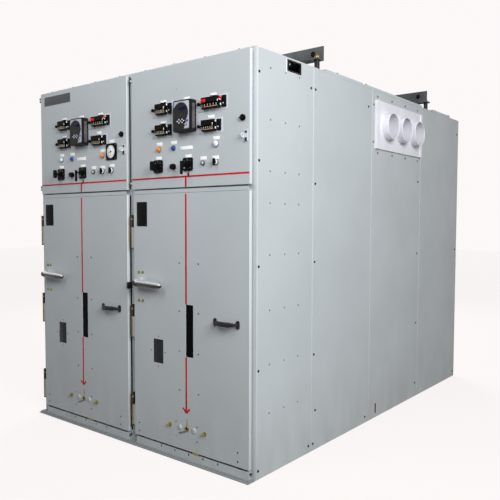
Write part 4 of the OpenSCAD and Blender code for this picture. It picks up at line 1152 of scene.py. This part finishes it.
@dataclass
class ControlDoor(Door):
    """A control door with its labels, mimic line, relay, test switches, lamps and switches."""

    KIND: ClassVar[str] = "control_door"
    lenses: tuple[LensColour, LensColour, LensColour]
    mimic_ends: Spot = (37.0, 1047.0)
    bottom: float = 1735.0
    mimic_z: float = 1800.0
    mimic_w: float = 11.0
    drop_w: float = 14.0
    mimic_t: float = 0.8
    drop_t: float = 0.72
    label: Spot = (53.0, 20.0)
    label_t: float = 1.6
    label_pin_in: float = 4.0
    label_pin_r: float = 1.6
    wide_label: Spot = (106.0, 22.0)
    wide_label_at: Spot = (546.0, 1975.0)
    device_labels: Spots = ((550.0, 2275.0), (343.0, 2279.0), (343.0, 2148.0), (772.0, 2271.0), (753.0, 2144.0))
    lamp_label_up: float = 34.0
    switch_labels: Spots = ((298.0, 1927.0), (563.0, 1923.0), (690.0, 1903.0), (789.0, 1901.0))
    left_labels: Spots = ((892.0, 1907.0), (892.0, 2074.0))
    relay_at: Spot = (555.0, 2165.0)
    relay_out: float = 52.0
    relay_half_w: float = 76.5
    relay_face: Sizes = (131.0, 167.0, 0.9, 0.4, 9.0)
    relay_face_up: float = 3.0
    relay_side: Sizes = (24.0, 150.0, 0.8, 0.3)
    relay_reflection_at: Spot = (-24.0, -4.0)
    # The relay's screen, arrow keys, two enter keys and indicators, from the middle of its face.
    relay_keys: Details = (
        Detail((67.0, 23.0, 0.7, 0.2), (8.0, 42.0, 0.9), SCREEN_NAVY),
        *(Detail((8.0, 6.0, 0.8, 0.3, 1.0), (x, z, 4.0), LABEL_WHITE)
          for x, z in ((-29.5, -34.0), (-2.5, -34.0), (24.5, -34.0), *grid((-16.0, 11.0), (-24.5, -43.5)))),
        Detail((20.0, 9.0, 0.8, 0.3, 4.4), (47.5, -33.5, 4.0), KEY_BLUE),
        Detail((20.0, 9.0, 0.8, 0.3, 4.4), (38.5, -56.5, 4.0), KEY_PINK),
        *(Detail((2.4, 0.8, 0.3, 12), (x, z, 2.0), PLATE_GREY, make=Shapes.drum)
          for x, z in grid((-25.0, -5.0, 15.0, 35.0), (9.0, -4.0))))
    tests: tuple[TestSwitch, ...] = (
        TestSwitch((290.0, 2233.0), 131.0), TestSwitch((290.0, 2100.0), 131.0),
        TestSwitch((695.0, 2224.0), 180.0, (
            Detail((36.0, 18.0, 2.0, 0.8), (18.0, 14.0, 28.0), TAG_RED),
            Detail((26.0, 13.0, 2.0, 0.6), (150.0, 20.0, 24.0), TAG_RED, -30.0),
            Detail((22.0, 5.0, 2.0, 0.6), (146.0, 10.0, 24.0), LABEL_WHITE, -30.0))),
        TestSwitch((695.0, 2091.0), 140.0))
    lamp_x: Row = (305.0, 437.0, 794.0)
    lamp_z: float = 1982.0
    lens_r: float = 15.5
    clear_lens_r: float = 19.0
    lens_rise: float = 18.0
    lens_out: float = 1.0
    bezel_w: float = 2.0
    switch_z: float = 1874.0
    switch_x: Spot = (298.0, 563.0)
    switch_t: float = 9.0
    switch_screw_out: float = 33.0
    switch_screw_r: float = 2.6
    # Marks of the selector switch, then the breaker switch's two marks and four dots, both switches' rings, the push
    # button with its ring, and the hanging key with its ring.
    switch_marks: Details = (
        *(Detail((6.0, 3.0, 0.8, 0.3), (x, z, 9.0), BRASS)
          for x, z in ((276.0, 22.0), (298.0, 29.0), (320.0, 22.0), (269.0, 0.0), (327.0, 0.0))),
        *(Detail((24.0, 2.6, 0.9, 0.3), (563.0, 28.0, 9.0), TAG_GREEN, turn) for turn in (45.0, -45.0)),
        Detail((4.2, 1.2, 0.4, 16), (538.0, -22.0, 9.0), LABEL_WHITE, make=Shapes.drum),
        Detail((4.2, 1.2, 0.4, 16), (588.0, -22.0, 9.0), PLATE_GREY, make=Shapes.drum),
        *(Detail((3.4, 1.2, 0.4, 16), (x, 22.0, 9.0), PLATE_GREY, make=Shapes.drum) for x in (538.0, 588.0)),
        *(Detail((21.0, 16.4, 4.0, 1.0), (x, 0.0, 9.0), BLACK_PLASTIC, make=Shapes.ring) for x in (298.0, 563.0)),
        Detail((14.0, 11.9, 10.0, 0.8), (690.0, 0.0, 0.0), DARK_ZINC, make=Shapes.ring),
        Detail((11.8, 13.0), (690.0, 0.0, 0.0), PALE_ZINC, make=Shapes.dome),
        Detail((9.0, 30.0, 3.0, 0.8, 3.0), (565.0, -56.0, 0.0), BLACK_PLASTIC),
        Detail((7.0, 4.6, 2.4, 0.8, 20), (565.0, -44.0, 1.5), PALE_ZINC, make=Shapes.ring))
    key_switch_x: float = 794.0
    spare_switch_x: float = 892.0
    small_switch: Details = (
        Detail((18.0, 16.2, 8.0, 0.8), (0.0, 0.0, 0.0), DARK_ZINC, make=Shapes.ring),
        Detail((16.0, 6.2, 11.0, 1.2), (0.0, 0.0, 0.0), LABEL_WHITE, make=Shapes.ring))
    bar_x: float = 1026.0
    bar_w: float = 8.0
    bar_out: float = 3.0
    bar_runs: Spots = ((2031.0, 13.0), (1988.0, 22.0))
    screws: Spots = ((460.0, 2345.0), (501.0, 1781.0))
    screw_r: float = 3.2
    meter: Meter = Meter()
    nameplate: BarePlate = BarePlate((252.0, 2437.0), (330.0, 67.0), 1.8, 0.6, 8.0)

    def build(self) -> None:
        """Dresses the door's nodes and adds its small pieces."""
        self.dress(GREY_PAINT, self.KIND)
        self.dress(RELAY_CASE, "relay")
        self.dress(BLACK_PLASTIC, "test_switches", "switch_bases", "breaker_handle", "selector_handle", "key_lever",
                   "latch_knob")
        self.dress(PALE_AND_HIGHLIGHT_PAINT, "hasp")
        self.mimic()
        self.labels()
        self.devices()
        self.lamps()
        self.switches()
        self.lock()
        self.edge_highlight()
        if self.side is Side.LEFT:
            self.left_devices()

    def mimic(self) -> None:
        """Adds the red line across the door and the start of its branch down."""
        piece = self.piece("mimic_line", MIMIC_RED)
        left, right = self.mimic_ends
        drop = self.mimic_z - self.bottom
        piece.put(Shapes.block(right - left, self.mimic_w, self.mimic_t, edge=0.3), (left + right) / 2, self.mimic_z)
        piece.put(Shapes.block(self.drop_w, drop, self.drop_t, edge=0.3), MIMIC_X, self.bottom + drop / 2)
        piece.mount(self.body, "lamp_lens")

    def labels(self) -> None:
        """Adds the blank white label plates with their pins."""
        piece = self.piece("label_plates", LABEL_WHITE, GREY_ZINC)
        spots = [*self.device_labels, *((x, self.lamp_z + self.lamp_label_up) for x in self.lamp_x),
                 *self.switch_labels, *(self.left_labels if self.side is Side.LEFT else ())]
        for (x, z), (w, h) in [(spot, self.label) for spot in spots] + [(self.wide_label_at, self.wide_label)]:
            reach = w / 2 - self.label_pin_in
            piece.put(Shapes.block(w, h, self.label_t, edge=0.4, corner=1.5), x, z)
            piece.bolts([(x - reach, z), (x + reach, z)], self.label_pin_r, Head.PAN, GREY_ZINC, self.label_t)
        piece.mount(self.body, "white_moulding")

    def devices(self) -> None:
        """Adds the fittings of the relay, with a painted reflection on its side, and of the test switches."""
        x, z = self.relay_at
        face = self.piece("relay_face", BEZEL_GREY, CASE_REFLECTION)
        face.put(Shapes.block(*self.relay_face), x, z + self.relay_face_up, self.relay_out)
        # The grey patch on the relay's right side is a painted reflection.
        wall = Seat((self.side.value + x + self.relay_half_w, FRONT_Y - DOOR_FACE, 0.0), Facing.RIGHT)
        y, dz = self.relay_reflection_at
        face.put(Shapes.block(*self.relay_side), y, z + dz, 0.0, CASE_REFLECTION, seat=wall)
        face.mount(self.body, "white_moulding")
        keys = self.piece("relay_keys", LABEL_WHITE, SCREEN_NAVY, KEY_BLUE, KEY_PINK, PLATE_GREY)
        keys.details(self.relay_keys, x, z, self.relay_out)
        keys.mount(self.body, "white_moulding")
        fittings = self.piece("test_fittings", FLANGE_GREY, BRASS, LABEL_WHITE, TAG_RED, BLACK_PLASTIC)
        for test in self.tests:
            test.put_on(fittings)
        fittings.mount(self.body, "black_plastic")

    def lamps(self) -> None:
        """Adds the pilot lamps: a ring with a domed lens of each colour."""
        rings = self.piece("lamp_rings", GREY_ZINC)
        lenses = self.piece("lamp_lenses", *(colour.finish for colour in LensColour))
        for x, colour in zip(self.lamp_x, self.lenses):
            r = self.clear_lens_r if x == self.lamp_x[-1] and colour is LensColour.CLEAR else self.lens_r
            rings.put(Shapes.ring(r + self.bezel_w, r - self.bezel_w, depth=6.0, edge=1.2), x, self.lamp_z)
            lenses.put(Shapes.dome(r, self.lens_rise), x, self.lamp_z, self.lens_out, colour.finish)
        rings.mount(self.body, "zinc_steel", f"lamps_{self.word}")
        lenses.mount(self.body, "lamp_lens")

    def switches(self) -> None:
        """Adds rings and marks to the rotary switches, pale faces to the small ones and a hanging key."""
        piece = self.piece("switch_marks", BRASS, TAG_GREEN, LABEL_WHITE, BLACK_PLASTIC, PALE_ZINC, PLATE_GREY,
                           DARK_ZINC)
        z, far = self.switch_z, self.switch_screw_out
        piece.details(self.switch_marks, 0.0, z)
        for x in self.switch_x:
            piece.bolts(grid((x - far, x + far), (z - far, z + far)), self.switch_screw_r, Head.PAN, BLACK_PLASTIC,
                        self.switch_t)
        spare = (self.spare_switch_x,) if self.side is Side.LEFT else ()
        for x in (self.key_switch_x, *spare):
            piece.details(self.small_switch, x, z)
        piece.mount(self.body, "chrome_metal")

    def lock(self) -> None:
        """Adds the padlock bar beside the hasp and the door's loose screws."""
        bar = self.piece("padlock_bar", BLACK_STEEL)
        for z, height in self.bar_runs:
            bar.put(Shapes.block(self.bar_w, height, depth=9.0, edge=1.5, corner=3.0), self.bar_x, z, self.bar_out)
        bar.mount(self.body, "black_steel")
        screws = self.piece("control_screws", GREY_ZINC)
        screws.bolts(self.screws, self.screw_r)
        screws.mount(self.body, "zinc_steel")

    def left_devices(self) -> None:
        """Adds what only the left door has: the spare switch, the meter and the bare nameplate."""
        self.dress(BLACK_PLASTIC, "spare_lever", "meter")
        dial = Workpiece("meter_dial", self.seat, LABEL_WHITE, BLACK_PLASTIC, GREY_ZINC)
        self.meter.put_on(dial)
        dial.mount(self.body, "white_moulding")
        plate = Workpiece("bare_nameplate", self.seat, PLATE_GREY, GREY_ZINC)
        self.nameplate.put_on(plate)
        plate.mount(self.body, "chrome_metal")


@dataclass
class BreakerDoor(Door):
    """A breaker door with its mimic arrow, windows, lever, pull handle and racking port."""

    KIND: ClassVar[str] = "breaker_door"
    mimic_w: float = 14.0
    mimic_t: float = 0.8
    mimic_runs: Spots = ((1001.0, 1693.0), (318.0, 668.0))
    arrow_tip: float = 300.0
    arrow_l: float = 42.0
    arrow_from: float = 9.8
    arrow_step: float = 0.08
    rating_plate: BarePlate = BarePlate((133.0, 1569.5), (100.0, 161.0), 1.6, 0.5, 7.0)
    screw_columns: Row = (482.0, 647.0)
    screw_rows: Row = (1260.0, 954.0, 700.0, 447.0)
    screw_r: float = 5.2
    window_screws: Spots = ((286.0, 770.0), (286.0, 573.0), (218.0, 671.0), (349.0, 671.0))
    window_screw_r: float = 4.4
    port_screws: Spots = ((449.0, 239.0), (634.0, 239.0), (449.0, 145.0), (634.0, 145.0))
    port_screw_r: float = 4.6
    foot_screws: Spots = ((96.0, 157.0), (96.0, 102.0), (965.0, 157.0), (965.0, 102.0))
    foot_screw_r: float = 5.0
    lever_screws: Spots = ((100.0, 1182.0), (137.0, 1182.0), (100.0, 993.0), (137.0, 993.0))
    lever_screw_r: float = 8.0
    port_at: Spot = (545.0, 208.0)
    # The shutter strip in the keyhole, the socket's collar, the arm beside it, the covers and the thumb bolts.
    port_details: Details = (
        Detail((9.0, 48.0, 3.4, 0.6), (0.0, 41.0, -3.0), YELLOW_ZINC),
        Detail((16.5, 11.2, 4.0, 1.2), (0.0, 0.0, 1.0), YELLOW_ZINC, make=Shapes.ring),
        Detail((62.0, 6.0, 6.0, 2.0), (-38.0, -27.0, 0.0), DARK_ZINC, 20.0),
        *(Detail((18.0, 6.0), (x, 0.0, 0.0), GREY_PAINT, make=Shapes.dome) for x in (-62.0, 62.0)),
        *(Detail((11.0, Head.HEX), (x, 0.0, 0.5), YELLOW_ZINC, 11.0, make=Shapes.bolt) for x in (-152.0, 152.0)))
    small_pane: Details = (Detail((91.0, 156.0, 0.8, 0.2), (285.5, 672.0, -1.6), SMALL_PANE),)
    tube: Sizes = (7.8, 7.0, 134.0, 0.6, 20)
    tube_rows: Row = (1345.5, 738.0, 130.5)

    def build(self) -> None:
        """Dresses the door's nodes and adds its small pieces."""
        self.dress(GREY_PAINT, self.KIND)
        self.dress(DARK_PANE, "window_panes")
        self.dress(SHEEN_PAINTED_CHROME, "lever")
        self.dress(BLACK_STEEL, "pull_handle")
        self.dress(YELLOW_ZINC, "racking_port")
        self.mimic()
        self.screws()
        plate = self.piece("bare_plate", BLACK_PLASTIC, GREY_ZINC)
        self.rating_plate.put_on(plate)
        plate.mount(self.body, "black_plastic")
        self.racking()
        self.hinge_tubes()
        self.edge_highlight()

    def mimic(self) -> None:
        """Adds the red line down the door and its open arrow head, one arm a little proud of the other."""
        piece = self.piece("mimic_arrow", MIMIC_RED)
        for low, high in self.mimic_runs:
            piece.put(Shapes.block(self.mimic_w, high - low, self.mimic_t, edge=0.3), MIMIC_X, (low + high) / 2)
        half = self.arrow_l / 2 * math.sqrt(0.5)
        for s in (-1, 1):
            piece.put(Shapes.block(self.arrow_l, self.mimic_w, self.mimic_t + self.arrow_step * s, edge=0.3),
                      MIMIC_X + s * half, self.arrow_tip + self.arrow_from + half, turn=s * 45.0)
        piece.mount(self.body, "lamp_lens")

    def screws(self) -> None:
        """Adds the door's grey and black screws and the plated bolts by the lever."""
        piece = self.piece("door_screws", DARK_ZINC, YELLOW_ZINC, BLACK_STEEL)
        piece.bolts(grid(self.screw_columns, self.screw_rows), self.screw_r)
        piece.bolts(self.window_screws, self.window_screw_r)
        piece.bolts(self.port_screws, self.port_screw_r)
        piece.bolts(self.foot_screws, self.foot_screw_r, Head.PAN, BLACK_STEEL)
        piece.bolts(self.lever_screws, self.lever_screw_r, Head.HEX, YELLOW_ZINC)
        piece.mount(self.body, "zinc_steel")

    def racking(self) -> None:
        """Adds the shutter strip, collar, arm, covers and thumb bolts of the racking port, and the small pane."""
        piece = self.piece("racking_fittings", YELLOW_ZINC, DARK_ZINC, GREY_PAINT, SMALL_PANE)
        piece.details(self.port_details, *self.port_at)
        piece.details(self.small_pane)
        piece.mount(self.body, "zinc_steel")

    def hinge_tubes(self) -> None:
        """Adds the plated tubes over the door's hinge sleeves."""
        hinge = Seat((self.side.value + HINGE_X, FRONT_Y - HINGE_OUT, 0.0), Facing.TOP)
        piece = Workpiece(f"hinge_tubes_{self.word}", hinge, OLIVE_ZINC)
        for z in self.tube_rows:
            piece.put(Shapes.ring(*self.tube), 0.0, 0.0, z)
        piece.mount(self.body, "zinc_steel")


@dataclass(frozen=True)
class Softbox:
    """A square soft light: its name, place, the point it looks at, power in watts and side in metres."""

    name: str
    at: Point
    aim: Point
    power: float
    size: float

    def build(self, scene: bpy.types.Scene) -> None:
        """Adds the light to a scene.

        Args:
            scene: the scene.
        """
        lamp = bpy.data.lights.new(self.name, "AREA")
        lamp.energy = self.power
        lamp.size = self.size
        light = bpy.data.objects.new(self.name, lamp)
        light.location = self.at
        light.rotation_euler = (Vector(self.aim) - Vector(self.at)).to_track_quat("-Z", "Y").to_euler()
        light.visible_camera = False
        scene.collection.objects.link(light)


@dataclass
class Studio:
    """The pale floor, the soft lights and the camera; lengths are in metres."""

    camera_at: Point = (3.2095, -4.3290, 1.5122)
    pitch: float = -2.988
    yaw: float = 38.614
    roll: float = 0.162
    lens: float = 43.54
    sensor: float = 36.0
    shift: Spot = (-0.0012, 0.0093)
    backdrop: Colour = (0.988, 0.973, 0.969)
    sky: float = 0.095
    floor_size: float = 60.0
    floor_down: float = 0.001
    floor_colour: Colour = (0.34, 0.335, 0.33)
    floor_roughness: float = 0.9
    floor_glow: float = 0.872
    lights: tuple[Softbox, ...] = (
        Softbox("key", (5.17, -3.51, 3.4), (1.07, -2.0, 2.4), 318.0, 2.5),
        Softbox("fill", (0.5, -4.2, 4.2), (0.3, -1.56, 1.9), 64.0, 2.4),
        Softbox("rear", (-3.6, 4.6, 3.2), (-0.4, 0.6, 1.2), 230.0, 3.0))

    def build(self) -> None:
        """Sets up the view, the world, the floor, the lights and the camera."""
        scene = bpy.context.scene
        scene.view_settings.view_transform = "Standard"
        self.world(scene)
        self.floor(scene)
        for light in self.lights:
            light.build(scene)
        self.camera(scene)

    @staticmethod
    def seen_directly(tree: bpy.types.NodeTree) -> Socket:
        """A value of one for what the camera, mirrors and glass show, and zero for light.

        Args:
            tree: the node tree to add it to.

        Returns:
            The socket that carries the value.
        """
        path = tree.nodes.new("ShaderNodeLightPath")
        total = path.outputs["Is Camera Ray"]
        for name in ("Is Glossy Ray", "Is Transmission Ray"):
            node = tree.nodes.new("ShaderNodeMath")
            node.operation = "MAXIMUM"
            tree.links.new(total, node.inputs[0])
            tree.links.new(path.outputs[name], node.inputs[1])
            total = node.outputs["Value"]
        return total

    def world(self, scene: bpy.types.Scene) -> None:
        """A pale surround that lights the object softly.

        Args:
            scene: the scene.
        """
        world = bpy.data.worlds.new("studio")
        world.use_nodes = True
        tree = world.node_tree
        strength = tree.nodes.new("ShaderNodeMapRange")
        strength.inputs["To Min"].default_value = self.sky
        strength.inputs["To Max"].default_value = 1.0
        tree.links.new(self.seen_directly(tree), strength.inputs["Value"])
        back = tree.nodes["Background"]
        back.inputs["Color"].default_value = linear(self.backdrop)
        tree.links.new(strength.outputs["Result"], back.inputs["Strength"])
        scene.world = world

    def floor(self, scene: bpy.types.Scene) -> None:
        """A wide pale floor just under the object that keeps its shadow.

        Args:
            scene: the scene.
        """
        shape = bmesh.new()
        bmesh.ops.create_grid(shape, x_segments=1, y_segments=1, size=self.floor_size / 2)
        bmesh.ops.translate(shape, vec=(0, 0, -self.floor_down), verts=shape.verts)
        mesh = bpy.data.meshes.new("floor")
        shape.to_mesh(mesh)
        shape.free()
        floor = bpy.data.objects.new("floor", mesh)
        scene.collection.objects.link(floor)
        graph = Graph("floor_pale")
        graph.shader.inputs["Base Color"].default_value = linear(self.floor_colour)
        graph.shader.inputs["Roughness"].default_value = self.floor_roughness
        graph.shader.inputs["Emission Color"].default_value = linear(self.backdrop)
        glow = graph.ranged(self.seen_directly(graph.tree), (0.0, 1.0), 0.0, self.floor_glow)
        graph.link(glow, graph.shader.inputs["Emission Strength"])
        mesh.materials.append(graph.material)

    def camera(self, scene: bpy.types.Scene) -> None:
        """The camera at the photograph's angle.

        Args:
            scene: the scene.
        """
        data = bpy.data.cameras.new("camera")
        data.lens = self.lens
        data.sensor_width = self.sensor
        data.shift_x, data.shift_y = self.shift
        camera = bpy.data.objects.new("camera", data)
        turn = (Matrix.Rotation(math.radians(self.yaw), 4, "Z")
                @ Matrix.Rotation(math.radians(90.0 + self.pitch), 4, "X")
                @ Matrix.Rotation(math.radians(self.roll), 4, "Z"))
        camera.matrix_world = Matrix.Translation(Vector(self.camera_at)) @ turn
        scene.collection.objects.link(camera)
        scene.camera = camera


def write_sizes() -> None:
    """Updates the view layer."""
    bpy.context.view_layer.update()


def main() -> None:
    """Builds the sub-assemblies in order and sets up the studio."""
    logging.basicConfig(level=logging.INFO, format="%(name)s %(message)s")
    clear, blue, amber = LensColour.CLEAR, LensColour.BLUE, LensColour.AMBER
    assemblies = [
        Enclosure(), BusBushing(), LiftingGear(),
        ControlDoor(Side.LEFT, (clear, blue, amber)), ControlDoor(Side.RIGHT, (amber, blue, clear)),
        BreakerDoor(Side.LEFT), BreakerDoor(Side.RIGHT), Studio()]
    for assembly in assemblies:
        assembly.build()
        LOG.info("%s built", type(assembly).__name__)
    write_sizes()


if __name__ == "__main__":
    main()
